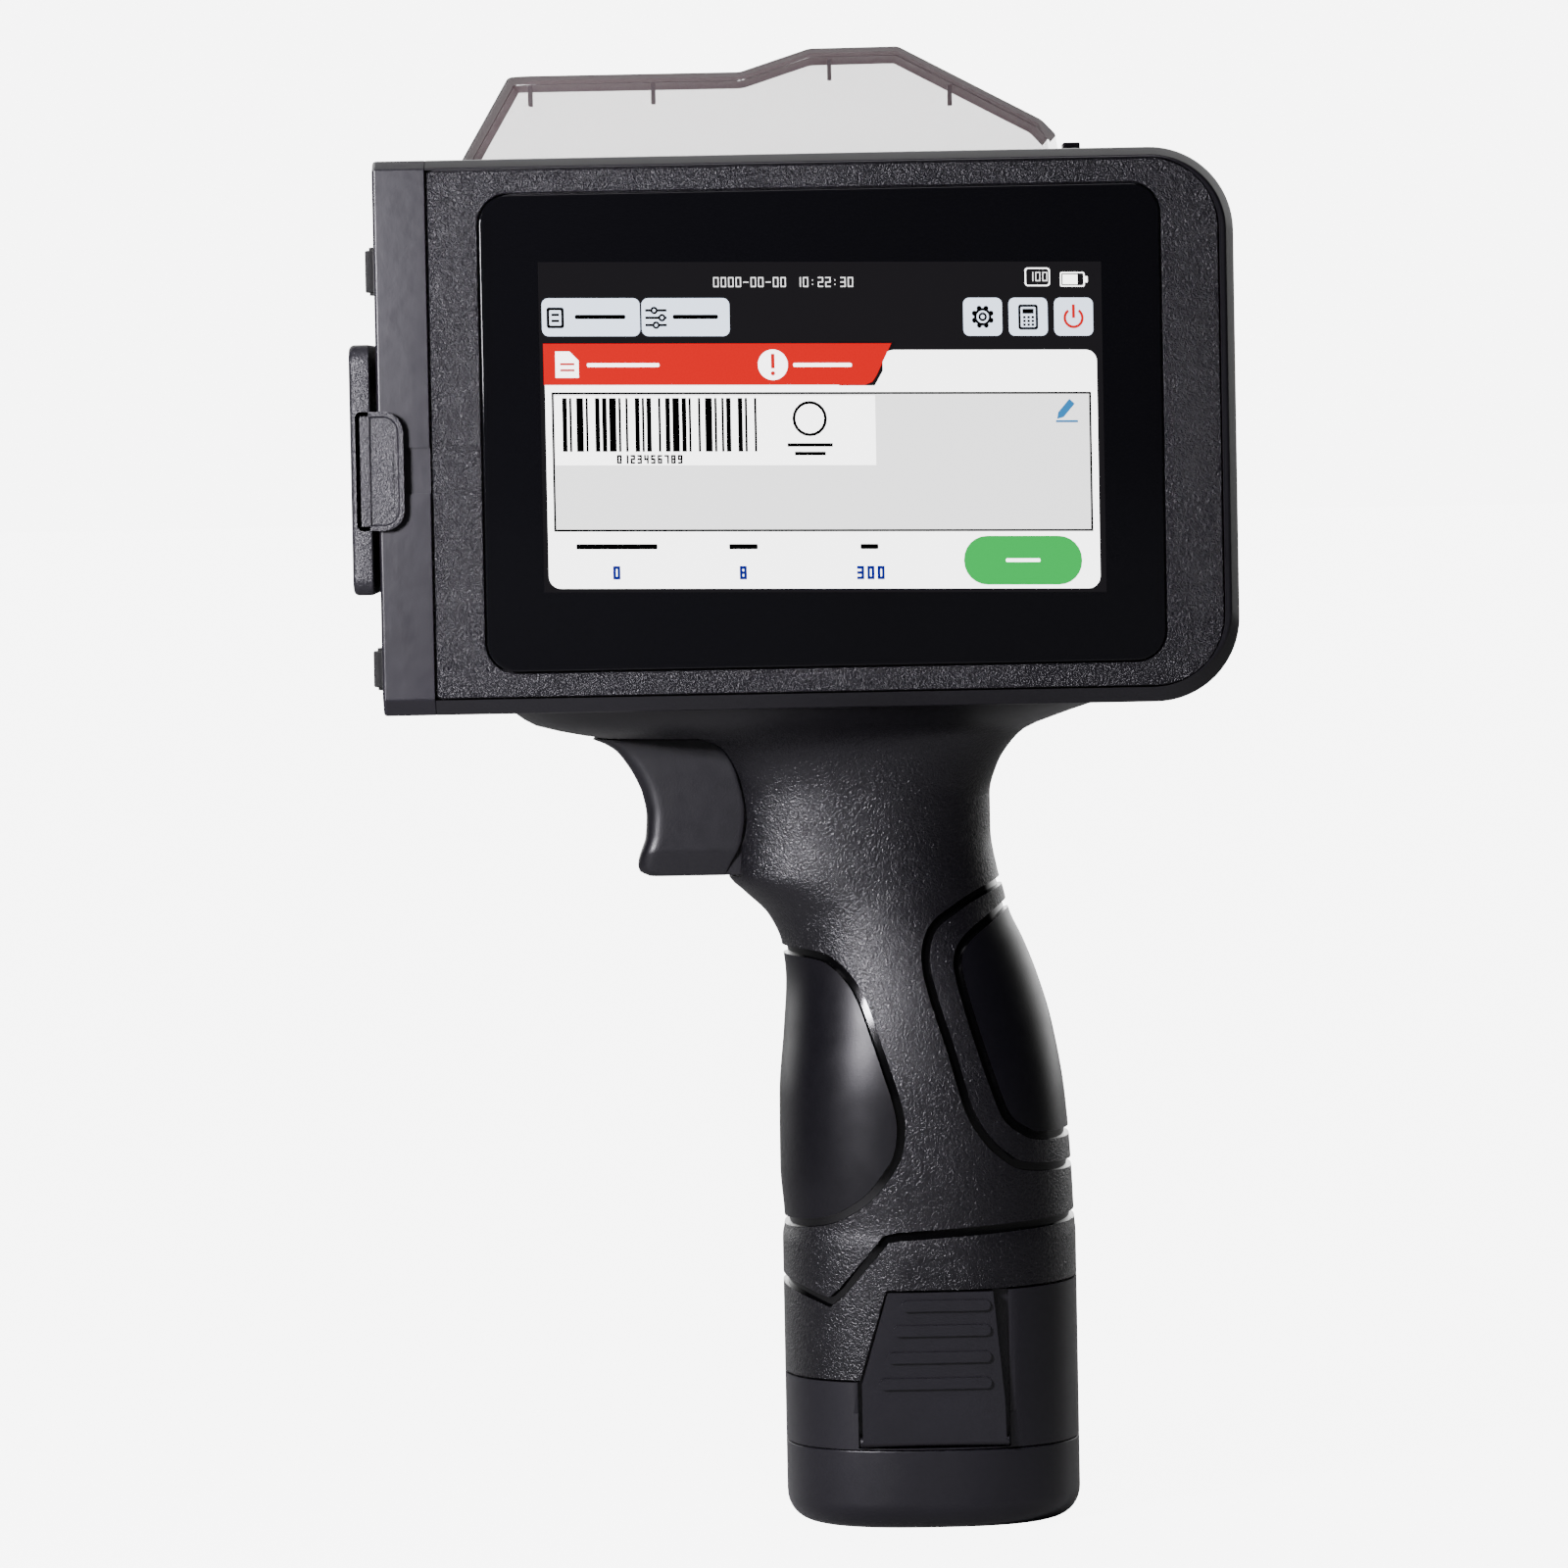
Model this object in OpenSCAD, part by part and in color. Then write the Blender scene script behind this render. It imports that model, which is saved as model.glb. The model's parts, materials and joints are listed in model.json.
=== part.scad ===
// Hand-held date code inkjet printer: print head with touch screen, pistol grip
// and slide-in battery pack. The origin is the centre of the pack's underside.
// +X points away from the print face, -Y is the screen side, +Z is up.

/* [Head] */
// Left end of the head casings, where the print end cap starts
head_left = -80.7; // [-81.5:0.1:-80]
// Right end of the head casings
head_right = 53; // [52:0.5:56]
// Underside of the head
head_bottom = 139; // [138.8:0.1:139.2]
// Top of the head casings
head_top = 231; // [230.5:0.1:231.5]
// Half of the head's depth, front to back
head_half_depth = 33; // [32.8:0.1:33.4]
// Outer radius of the two right-hand corners
head_corner = 14; // [10:0.5:16]
// Wall thickness of the casings
wall = 2.5; // [2.2:0.1:2.8]

/* [Screen] */
// Width of the cover glass
glass_w = 112.6; // [111:0.2:113]
// Height of the cover glass
glass_h = 79; // [78:0.2:80]
// Corner radius of the cover glass
glass_corner = 5; // [3:0.5:6]

/* [Print end] */
// Outer face of the print end cap
end_face = -89.5; // [-90:0.1:-89]
// Radius of the encoder wheels
encoder_wheel_r = 10; // [9.8:0.1:10.2]
// Radius of the guide rollers
guide_roller_r = 5.2; // [5:0.1:5.4]
// Radius of both wheel axles
axle_r = 1.5; // [1.2:0.1:1.6]

/* [Grip] */
// Wall thickness of the grip casings
grip_wall = 2.4; // [2:0.1:2.4]
// Half of the trigger's width
trigger_half = 8.6; // [8:0.1:8.8]
// How far the trigger travels
trigger_travel = 6; // [4:0.5:6]

/* [Battery pack] */
// Half of the pack's width
pack_half_x = 25; // [24.8:0.1:25.2]
// Half of the pack's depth
pack_half_y = 23; // [22.8:0.1:23.2]
// Height of the base cap
base_h = 13.5; // [12:0.5:14]
// Top of the stem that goes up into the grip
stem_top = 75; // [74:0.5:75]
// Radius of the stem
stem_r = 21.4; // [21.2:0.1:21.5]
// Radius of one cell
cell_r = 9.2; // [9:0.1:9.3]

/* [Hidden] */
$fn = 32;
gap = 0.3;        // clearance between separate pieces
cut = 1;          // how far a cutting tool runs past a face

// Head
front = -head_half_depth;
back = head_half_depth;
bezel_left = -80.4;
bezel_right = head_right - 2.7;
bezel_low = head_bottom + 2;
bezel_high = head_top - 2;
bezel_t = 2.5;
bezel_back = front + bezel_t;
inner_left = head_left + wall;
inner_right = head_right - wall;
inner_low = head_bottom + wall;
inner_high = head_top - wall;
face_wall_back = bezel_back + 2;
glass_left = -72;
glass_right = glass_left + glass_w;
glass_low = 146;
glass_high = glass_low + glass_h;
glass_t = 1.1;
lcd = [-68.4, 37.2, 151.9, 219.1];          // left, right, low, high
board_y = -24;
board_t = 1.6;
// Places of the casing screws, as x and z
head_screw_at = [[-56, 144.6], [45.2, 146.9], [45.2, 223.1]];
board_screw_at = [[-62, 145.6], [-62, 224.4], [44.5, 156], [44.5, 214]];
neck_screw_at = [[-50, -12], [-50, 12], [14, -12], [14, 12]];

// Cartridge bay in the rear casing
bay_left = -76.2;
bay_right = 25;
bay_low = 153;
bay_front = 1.4;
cartridge_y = [3, 27];
snout_y = [7.5, 22.5];
cover_y = [0.8, back];
cover_t = 1.6;
cover_base = head_top + gap;
hinge_y = back + 2.4;
hinge_z = 150.8;
hinge_barrel_r = 2.2;
pin_r = 1;
bore_r = 1.05;
// Outline of the hood as x and z, from its left foot over the hump to its right foot
hood = [[-76.6, cover_base], [-68, 246], [-28.5, 246], [-16.7, 249.8], [-1.6, 249.9],
        [22.5, 237], [25, 234.4], [25.3, cover_base]];
hood_inner = [[-74.8, cover_base - cut], [-74.8, cover_base], [-67.1, 244.4], [-28.2, 244.4],
              [-16.5, 248.2], [-2, 248.3], [21.5, 235.7], [23.5, 233.6], [23.7, cover_base],
              [23.7, cover_base - cut]];

// Print end
skin = 1.8;
encoder_at = [-81.7, -18];
guide_at = [-86.5, 25];
wheel_z = [[143.5, 149.5], [209.5, 216.5]];  // lower pair, upper pair
cap_hinge = [-92, 30.5];
nozzle_cap_z = [159.2, 200.7];
latch_arm_z = [169.9, 189.6];

// End panel on the right
panel_z = [150, 207];
panel_half = 13;
panel_face = head_right + 0.4;
panel_t = 3.4;
flap_z = [172, 204];
flap_half = 9.8;
flap_t = 1.7;
flap_hinge = [panel_face - flap_t / 2, 9.2];
button_z = 161;
button_r = 5;

// Grip: height, front edge, rear edge and half depth of each section
grip_top = head_bottom;
sections = [[15, -25, 25, 23], [48, -25, 25, 23], [50, -24.5, 24.7, 22.6], [60, -25.2, 24.4, 23],
            [72, -25.1, 23.5, 22.8], [84, -24.1, 21.5, 21.6], [92, -23.6, 19.2, 20],
            [98, -24.2, 16.9, 18.6], [103, -26.4, 14.6, 17.6], [107, -30.4, 13.6, 17],
            [110, -33, 12.8, 16.8], [117, -31.5, 11.7, 16.6], [123, -31.5, 11.7, 16.8],
            [128, -34, 13.1, 17.6], [131.6, -41, 15.4, 19], [134, -57, 18, 21.5],
            [136, -65.6, 23, 24.5], [grip_top - 0.01, -70, 32, 28.5]];
bore_top = 76;
bore_r_grip = 21.8;
bore_half = 20.2;
// Places of the grip screws, as x and z
grip_screw_at = [[-18.5, 88], [12.5, 91], [-20, 104], [8, 113]];
grip_screw_seat = 8;
// Lower edge of the grip casings as x and z, which is also the pack's upper edge
edge_low = 25.4;
edge_high = 40.6;
edge = [[-30, edge_low], [-12.4, edge_low], [-7.8, edge_high], [10.5, edge_high],
        [30, edge_high + 0.6]];

// Trigger: front curve as x and z, then the back of its guide block
trigger_front = [[-46.9, 110.3], [-48.2, 111], [-48.3, 113], [-46.9, 117.1], [-46.7, 120.4],
                 [-47.3, 124], [-48.6, 127.1], [-51.5, 131.3], [-55.4, 133.4]];
trigger_low = 110.1;
trigger_high = 133.5;
trigger_back = -26;
switch_front = trigger_back + trigger_travel + 6;

// Battery pack
flat_half = 19.8;                     // the stem is flat on its near and far sides
stem_wall = 0.9;
clip_low = 15;                        // middle of the rod that a squeeze clip rocks on
clip_t = 1.6;
clip_outline = [[-12.1, clip_low], [12.1, clip_low], [11.9, 22], [10.2, edge_high - 0.4],
                [-7.5, edge_high - 0.4], [-12.1, edge_low - 0.6]];
rib_at = [[-9.1, 24.9], [-7.7, 29.3], [-6.6, 33.8], [-5.2, 38.0]];
rib_right = 9.7;
cell_low = 3.5;
cell_h = 65;
cell_ring = cell_r * 2 / sqrt(3) + 0.05;
blade_x = [-7, 0, 7];

// Extrudes a drawing of x and z along Y, from y0 to y1.
module along_y(y0, y1) rotate([90, 0, 0]) translate([0, 0, -y1]) linear_extrude(y1 - y0) children();

// Extrudes a drawing of y and z along X, from x0 to x1.
module along_x(x0, x1) translate([x0, 0, 0]) rotate([90, 0, 90]) linear_extrude(x1 - x0) children();

// A box from its low corner to its high corner.
module block(low, high) translate(low) cube(high - low);

// A cylinder along Y at x and z.
module rod_y(x, z, r, y0, y1) translate([x, y0, z]) rotate([-90, 0, 0]) cylinder(r = r, h = y1 - y0);

// A cylinder along Z at x and y.
module rod_z(at, r, z0, z1) translate([at[0], at[1], z0]) cylinder(r = r, h = z1 - z0);

// A cylinder along X at y and z.
module rod_x(y, z, r, x0, x1) translate([x0, y, z]) rotate([0, 90, 0]) cylinder(r = r, h = x1 - x0);

// A rectangle with one corner radius on its left and another on its right.
module panel(left, right, low, high, rl, rr) {
    translate([left + rl, low]) square([right - left - rl - rr, high - low]);
    translate([left, low + rl]) square([rl + 0.01, high - low - 2 * rl]);
    translate([right - rr - 0.01, low + rr]) square([rr + 0.01, high - low - 2 * rr]);
    for (z = [low + rl, high - rl]) translate([left + rl, z]) circle(rl);
    for (z = [low + rr, high - rr]) translate([right - rr, z]) circle(rr);
}

// The head's outline, drawn smaller by inset.
module head_outline(inset = 0)
    panel(head_left, head_right - inset, head_bottom + inset, head_top - inset, 1, head_corner - inset);

// Outline of a rounded box section from x0 to x1 with a half depth, as points.
// A power of 2 gives an ellipse and a higher one a squarer section.
function section_outline(x0, x1, half, inset, power, steps = 44) = [
    for (i = [0:steps - 1])
        let (a = 360 * i / steps, c = cos(a), s = sin(a), mid = (x0 + x1) / 2,
             rx = (x1 - x0) / 2 - inset, ry = half - inset)
        [mid + rx * sign(c) * pow(abs(c), 2 / power), ry * sign(s) * pow(abs(s), 2 / power)]
];

// A tube of radius r along points, closed at both ends.
module sweep(points, r, sides = 8) {
    n = len(points);
    function direction(i) = let (d = points[min(i + 1, n - 1)] - points[max(i - 1, 0)]) d / norm(d);
    function across(d) = let (side = cross(d, abs(d[1]) < 0.9 ? [0, 1, 0] : [1, 0, 0])) side / norm(side);
    rings = [for (i = [0:n - 1]) let (d = direction(i), u = across(d), v = cross(d, u))
             for (k = [0:sides - 1]) points[i] + r * (cos(360 * k / sides) * u + sin(360 * k / sides) * v)];
    walls = [for (i = [0:n - 2]) for (k = [0:sides - 1]) let (a = i * sides, b = (k + 1) % sides)
             for (f = [[a + k, a + b, a + sides + b], [a + k, a + sides + b, a + sides + k]]) f];
    ends = [[for (k = [sides - 1:-1:0]) k], [for (k = [0:sides - 1]) (n - 1) * sides + k]];
    polyhedron(points = rings,
               faces = [for (f = concat(walls, ends)) [f[0], each [for (i = [len(f) - 1:-1:1]) f[i]]]]);
}

// A compression spring along X from x0 to x1, centred on y and z.
module spring_x(x0, x1, y, z, r, wire, turns) {
    steps = turns * 12;
    sweep([for (i = [0:steps]) [x0 + (x1 - x0) * i / steps, y + r * cos(30 * i), z + r * sin(30 * i)]],
          wire, 6);
}

// A cap screw along an axis set by the caller: head at the origin, shank along -Z.
module screw(head_r, head_h, shank_r, length) {
    difference() {
        cylinder(r = head_r, h = head_h);
        translate([0, 0, head_h - 0.9]) cylinder(r = head_r * 0.5, h = cut + 1, $fn = 6);
    }
    translate([0, 0, -length]) cylinder(r = shank_r, h = length + 0.1);
}

// ---- Head ----

module head_front_shell() {
    color([0.09, 0.09, 0.1]) difference() {
        union() {
            hull() {
                along_y(front, front + 0.1) head_outline(2.2);
                along_y(front + 2.8, front + 2.9) head_outline();
            }
            along_y(front + 2.85, 0) head_outline();
        }
        // pocket for the bezel
        along_y(front - cut, bezel_back)
            panel(bezel_left - 2, bezel_right + 0.15, bezel_low - 0.15, bezel_high + 0.15, 1, 11.5);
        // window for the display
        block([lcd[0] - 1.6, front - cut, lcd[2] - 1.6], [lcd[1] + 1.6, face_wall_back + cut, lcd[3] + 1.6]);
        // hollow inside, open to the print end
        difference() {
            along_y(face_wall_back, cut)
                panel(head_left - 4, inner_right, inner_low, inner_high, 1, head_corner - wall);
            for (p = head_screw_at) rod_y(p[0], p[1], 3.6, -18, cut + 1);
            for (p = board_screw_at) rod_y(p[0], p[1], 2.6, face_wall_back - 0.1, board_y);
            for (z = [inner_low - 0.1, inner_high - 3]) block([-25, -19, z], [-23, cut, z + 3.1]);
        }
        for (p = head_screw_at) rod_y(p[0], p[1], 1.5, -16, cut);
        for (p = board_screw_at) rod_y(p[0], p[1], 1.05, face_wall_back + 0.6, board_y + cut);
        // end panel, wiring hole and neck screws
        block([inner_right - cut, -panel_half - 0.2, panel_z[0] - 0.2],
              [head_right + cut, cut, panel_z[1] + 0.2]);
        rod_z([6, -6], 5, head_bottom - cut, inner_low + cut);
        for (p = neck_screw_at) if (p[1] < 0) rod_z(p, 1.6, head_bottom - cut, inner_low + cut);
    }
}

module head_rear_shell() {
    color([0.09, 0.09, 0.1]) difference() {
        union() {
            hull() {
                along_y(back - 0.1, back) head_outline(2.2);
                along_y(back - 2.9, back - 2.8) head_outline();
            }
            along_y(0, back - 2.85) head_outline();
            // hinge knuckles of the cover
            for (x = [-64, 6]) {
                rod_x(hinge_y, hinge_z, hinge_barrel_r, x, x + 8);
                block([x, back - 1, hinge_z - hinge_barrel_r], [x + 8, hinge_y, hinge_z - 0.6]);
            }
        }
        // hollow inside: below the bay and to the right of it
        difference() {
            along_y(-cut, back - wall)
                panel(inner_left, inner_right, inner_low, inner_high, 1, head_corner - wall);
            block([head_left, -cut, bay_low - 2], [bay_right + 2, back, head_top]);
            for (p = head_screw_at) rod_y(p[0], p[1], 3.6, -cut, back);
        }
        // cartridge bay, open to the back and the top
        block([bay_left, bay_front, bay_low], [bay_right, back + cut, head_top + cut]);
        // snout window and clearance for the guide axle
        block([head_left - cut, 5.2, 158], [bay_left + cut, 24.8, 206]);
        for (p = head_screw_at) {
            rod_y(p[0], p[1], 1.5, -cut, back);
            rod_y(p[0], p[1], 3, back - wall, back + cut);
        }
        for (x = [-64, 6]) rod_x(hinge_y, hinge_z, bore_r, x - cut, x + 8 + cut);
        // slot and pocket for the cover latch
        block([26.2, 8.4, inner_high - cut], [30.4, 17.6, head_top + cut]);
        // end panel, wiring hole and neck screws
        block([inner_right - cut, -cut, panel_z[0] - 0.2],
              [head_right + cut, panel_half + 0.2, panel_z[1] + 0.2]);
        for (p = neck_screw_at) if (p[1] > 0) rod_z(p, 1.6, head_bottom - cut, inner_low + cut);
    }
}

module front_bezel() {
    color([0.12, 0.12, 0.13]) difference() {
        along_y(front, bezel_back) panel(bezel_left, bezel_right, bezel_low, bezel_high, 1, 11.3);
        along_y(front - cut, front + glass_t + 0.15)
            panel(glass_left - 0.2, glass_right + 0.2, glass_low - 0.2, glass_high + 0.2,
                  glass_corner + 0.2, glass_corner + 0.2);
        block([lcd[0] - 0.3, front - cut, lcd[2] - 0.3], [lcd[1] + 0.3, bezel_back + cut, lcd[3] + 0.3]);
    }
}

module touch_glass()
    color([0.03, 0.03, 0.04]) along_y(front + 0.1, front + 0.1 + glass_t)
        panel(glass_left, glass_right, glass_low, glass_high, glass_corner, glass_corner);

module lcd_module() {
    color([0.6, 0.62, 0.65]) {
        block([lcd[0], front + 1.3, lcd[2]], [lcd[1], front + 4.6, lcd[3]]);
        block([-30, front + 4.5, 170], [0, front + 5.4, 190]);
    }
}

module main_board() {
    color([0.05, 0.3, 0.15]) difference() {
        along_y(board_y, board_y + board_t) panel(-66, 47.5, 143, 227, 1, 10);
        for (p = board_screw_at) rod_y(p[0], p[1], 1.3, board_y - cut, board_y + board_t + cut);
        for (p = head_screw_at) rod_y(p[0], p[1], 4.4, board_y - cut, board_y + board_t + cut);
    }
    color([0.06, 0.06, 0.06]) {
        for (x = [-40, -14, 14]) block([x, board_y + board_t - 0.1, 176], [x + 14, board_y + 3, 190]);
        for (x = [-52, -36, 20]) block([x, board_y + board_t - 0.1, 152], [x + 9, board_y + 5.5, 158]);
        for (x = [-30, -16]) rod_y(x, 208, 4, board_y + board_t - 0.1, board_y + 10);
    }
}

module board_screws()
    color("silver") for (p = board_screw_at) translate([p[0], board_y + board_t, p[1]])
        rotate([-90, 0, 0]) screw(2, 1.4, 1, board_t + 3);

module head_screws()
    color([0.2, 0.2, 0.2]) for (p = head_screw_at) translate([p[0], back - wall, p[1]])
        rotate([-90, 0, 0]) screw(2.7, 2, 1.42, back - wall + 14);

module neck_screws()
    color("silver") for (p = neck_screw_at) translate([p[0], p[1], inner_low])
        screw(2.6, 1.8, 1.4, 5);

// ---- Print end ----

module print_end_cap() {
    color([0.13, 0.13, 0.14]) difference() {
        union() {
            difference() {
                block([end_face, front, head_bottom], [head_left - 0.05, back, head_top]);
                block([end_face + skin, front + skin, head_bottom + skin],
                      [head_left + cut, back - skin, head_top - skin]);
            }
            // bearing blocks of the two axles
            for (z = [151, 204.5]) {
                block([end_face + 1, -22.5, z], [-77.5, -13.5, z + 3]);
                block([end_face + 1, 23.3, z], [head_left - 0.3, 30, z + 3]);
                block([end_face + 1, 29, z], [head_left - 0.3, back - 1, z + 3]);
            }
            // ears of the nozzle cap's hinge
            for (z = [[162, 167.6], [192.4, 198]]) {
                rod_z(cap_hinge, hinge_barrel_r, z[0], z[1]);
                block([cap_hinge[0], cap_hinge[1] - 1.6, z[0]],
                      [end_face + 1, cap_hinge[1] + hinge_barrel_r, z[1]]);
            }
        }
        // nozzle window
        block([end_face - cut, snout_y[0] - 0.8, 165], [end_face + skin + cut, snout_y[1] + 0.5, 195]);
        for (w = wheel_z) {
            block([end_face - cut, -26.8, w[0] - 0.7], [end_face + skin + 0.1, -9.2, w[1] + 0.7]);
            block([end_face - cut, 19.4, w[0] - 0.7], [end_face + skin + 0.1, 30.6, w[1] + 0.7]);
        }
        for (z = [151, 204.5]) {
            rod_z(encoder_at, 3, z - cut, z + 3 + cut);
            rod_z(guide_at, 2.6, z - cut, z + 3 + cut);
        }
        rod_z(cap_hinge, bore_r, 160, 200);
        // channel behind the face for the guide axle
        rod_z(guide_at, axle_r + gap, 141.2, 218.8);
        // strap recess on the near side
        block([-85.1, front - cut, 175.9], [head_left + cut, front + 0.6, 183.5]);
    }
}

module nozzle_cap() {
    color([0.1, 0.1, 0.11]) difference() {
        union() {
            along_x(-93.9, end_face - 1) panel(-35, 27.8, nozzle_cap_z[0], nozzle_cap_z[1], 3, 3);
            along_y(-35, -33.5) panel(-93, -85.1, latch_arm_z[0], latch_arm_z[1], 1, 3.5);
            rod_z(cap_hinge, hinge_barrel_r, 168, 192);
            block([-93.9, 27, 168], [-91.2, cap_hinge[1], 192]);
        }
        rod_z(cap_hinge, bore_r, 160, 200);
        block([-86.7, -36, 174.2], [-86, -34.5, 184]);
    }
}

module nozzle_seal()
    color([0.2, 0.05, 0.05]) along_x(end_face - 1, end_face - 0.1) panel(8.5, 21.5, 170, 190, 2, 2);

module nozzle_cap_pin() color("silver") rod_z(cap_hinge, pin_r, 162, 198);

module cartridge_holder() {
    color([0.16, 0.16, 0.17]) difference() {
        union() {
            block([-75.9, 2, bay_low + gap], [-6, 28.4, 157.6]);
            block([-8.4, 2, bay_low + gap], [-6, 28.4, 186]);
        }
        for (x = [-60, -40, -20]) block([x, 7, bay_low], [x + 8, 23, 157.6 + cut]);
        rod_x(15, 176, 5, -9, -5);
    }
}

module ink_cartridge() {
    color([0.08, 0.08, 0.09]) {
        along_y(cartridge_y[0], cartridge_y[1]) panel(-73.5, -9, 158, 226, 2.5, 4);
        block([end_face + 0.7, snout_y[0], 169], [-73, snout_y[1], 191]);
    }
    color([0.2, 0.35, 0.7]) block([-60, 6, 225.9], [-22, 24, 227.6]);
}

module nozzle_plate()
    color([0.8, 0.6, 0.25]) block([end_face + 0.3, 10, 173], [end_face + 0.7, 20, 187]);

module cartridge_contact_board() {
    color([0.7, 0.5, 0.2]) block([-76, 6, 192.4], [-74.8, 24, 216]);
    color("gold") for (y = [8:3:22]) for (z = [196:4:212]) rod_x(y, z, 0.7, -74.9, -73.7);
}

module cartridge_cover() {
    color([0.45, 0.4, 0.41, 0.55]) difference() {
        union() {
            difference() {
                along_y(cover_y[0], cover_y[1]) polygon(hood);
                along_y(cover_y[0] + cover_t, cover_y[1] - cover_t) polygon(hood_inner);
            }
            // back panel and its hinge knuckles
            block([bay_left + 0.4, back - 1.8, 153.4], [bay_right - 0.4, back, cover_base + 1]);
            for (x = [-55.6, -2.4]) {
                rod_x(hinge_y, hinge_z, hinge_barrel_r, x, x + 8);
                block([x, back - 1.8, 153.4], [x + 8, hinge_y + hinge_barrel_r, 155.4]);
                block([x, hinge_y, hinge_z], [x + 8, hinge_y + hinge_barrel_r, 155.4]);
            }
            // ribs under the hood's top wall
            for (rib = [[-64.2, 243], [-43.3, 243], [-13.3, 246.6], [7.1, 241.4]])
                block([rib[0] - 0.35, cover_y[0] + 1, rib[1] - 1],
                      [rib[0] + 0.35, cover_y[1] - 1, rib[1] + 1.8]);
        }
        for (x = [-55.6, -2.4]) rod_x(hinge_y, hinge_z, bore_r, x - cut, x + 8 + cut);
    }
}

module cover_hinge_pin() color("silver") rod_x(hinge_y, hinge_z, pin_r, -64, 14);

module cover_latch() {
    color([0.05, 0.05, 0.06]) {
        block([26.4, 9, head_top + 0.2], [29.3, 17, head_top + 2.3]);
        block([27.4, 9, inner_high - 0.8], [28.6, 17, head_top + 0.3]);
        block([27.4, 8, inner_high - 2.6], [34, 18, inner_high - 0.6]);
    }
}

module latch_spring() color("silver") spring_x(34.4, 42, 13, inner_high - 3.2, 1.7, 0.3, 5);

module encoder_axle() color("silver") rod_z(encoder_at, axle_r, 141.6, 218.4);

module encoder_wheels() {
    color([0.15, 0.15, 0.15]) for (w = wheel_z) difference() {
        union() {
            rod_z(encoder_at, encoder_wheel_r, w[0], w[1]);
            rod_z(encoder_at, encoder_wheel_r - 0.7, w[0] - 0.5, w[1] + 0.5);
        }
        rod_z(encoder_at, axle_r, w[0] - cut, w[1] + cut);
    }
}

module encoder_disc() {
    color([0.75, 0.75, 0.78]) difference() {
        union() {
            rod_z(encoder_at, 5.4, 185, 185.8);
            rod_z(encoder_at, 2.8, 182.5, 185.9);
        }
        rod_z(encoder_at, axle_r, 180, 188);
    }
}

module encoder_sensor() {
    color([0.08, 0.08, 0.08]) difference() {
        block([-78.5, -21, 181], [-72, -15, 190]);
        block([-80, -22, 184.2], [-75.4, -14, 186.6]);
    }
    color([0.05, 0.3, 0.15]) block([-72.1, face_wall_back, 175], [-70.6, -11, 195]);
}

module guide_axle() color("silver") rod_z(guide_at, axle_r, 141.6, 218.4);

module guide_rollers() {
    color([0.15, 0.15, 0.15]) for (w = wheel_z) difference() {
        rod_z(guide_at, guide_roller_r, w[0], w[1]);
        rod_z(guide_at, axle_r, w[0] - cut, w[1] + cut);
    }
}

module axle_bushes() {
    color([0.7, 0.5, 0.25]) for (z = [151, 204.5]) {
        difference() {
            rod_z(encoder_at, 3, z, z + 3);
            rod_z(encoder_at, axle_r + 0.04, z - cut, z + 3 + cut);
        }
        difference() {
            rod_z(guide_at, 2.6, z, z + 3);
            rod_z(guide_at, axle_r + 0.04, z - cut, z + 3 + cut);
        }
    }
}

// ---- End panel ----

module io_panel() {
    color([0.1, 0.1, 0.11]) difference() {
        along_x(panel_face - panel_t, panel_face)
            panel(-panel_half, panel_half, panel_z[0], panel_z[1], 2, 2);
        block([panel_face - flap_t - 0.2, -flap_half - gap, flap_z[0] - gap],
              [panel_face + cut, flap_hinge[1] + 1.3, flap_z[1] + gap]);
        rod_x(0, 196, 4.4, panel_face - panel_t - cut, panel_face);
        block([panel_face - panel_t - cut, -6.9, 177.4], [panel_face, 6.9, 184.6]);
        rod_x(0, button_z, button_r + gap, panel_face - panel_t - cut, panel_face + cut);
        rod_z(flap_hinge, 0.65, flap_z[0] - 2, flap_z[1] + 2);
    }
}

module power_button() {
    color([0.5, 0.08, 0.08]) {
        rod_x(0, button_z, button_r, panel_face - panel_t - 0.4, panel_face + 0.1);
        rod_x(0, button_z, button_r + 0.9, panel_face - panel_t - 1.6, panel_face - panel_t - 0.3);
    }
}

module power_switch() {
    color([0.1, 0.1, 0.1]) block([40, -6, button_z - 6], [46.2, 6, button_z + 6]);
    color([0.05, 0.3, 0.15]) block([38.4, -10, button_z - 9], [40.1, 10, button_z + 34]);
}

module port_flap() {
    color([0.06, 0.06, 0.06]) difference() {
        union() {
            block([panel_face - flap_t, -flap_half, flap_z[0]], [panel_face, flap_hinge[1], flap_z[1]]);
            rod_z(flap_hinge, flap_t / 2, flap_z[0], flap_z[1]);
        }
        rod_z(flap_hinge, 0.65, flap_z[0] - cut, flap_z[1] + cut);
    }
}

module port_flap_pin() color("silver") rod_z(flap_hinge, 0.6, flap_z[0] - 1.8, flap_z[1] + 1.8);

module usb_socket() {
    color("silver") difference() {
        block([40.2, -6.6, 177.6], [51.2, 6.6, 184.4]);
        block([42, -6, 178.2], [52, 6, 183.8]);
    }
    color("white") block([41.8, -5.4, 181.2], [50, 5.4, 183]);
}

module dc_socket() {
    color([0.1, 0.1, 0.1]) difference() {
        rod_x(0, 196, 4.2, 40.2, 51.2);
        rod_x(0, 196, 2.8, 42, 52);
    }
    color("silver") rod_x(0, 196, 0.9, 41.8, 50.5);
}

module buzzer() {
    color([0.1, 0.1, 0.1]) difference() {
        rod_y(34, 200, 6, board_y + board_t, board_y + 9);
        rod_y(34, 200, 1.2, board_y + 6, board_y + 10);
    }
}

// ---- Grip ----

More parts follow.
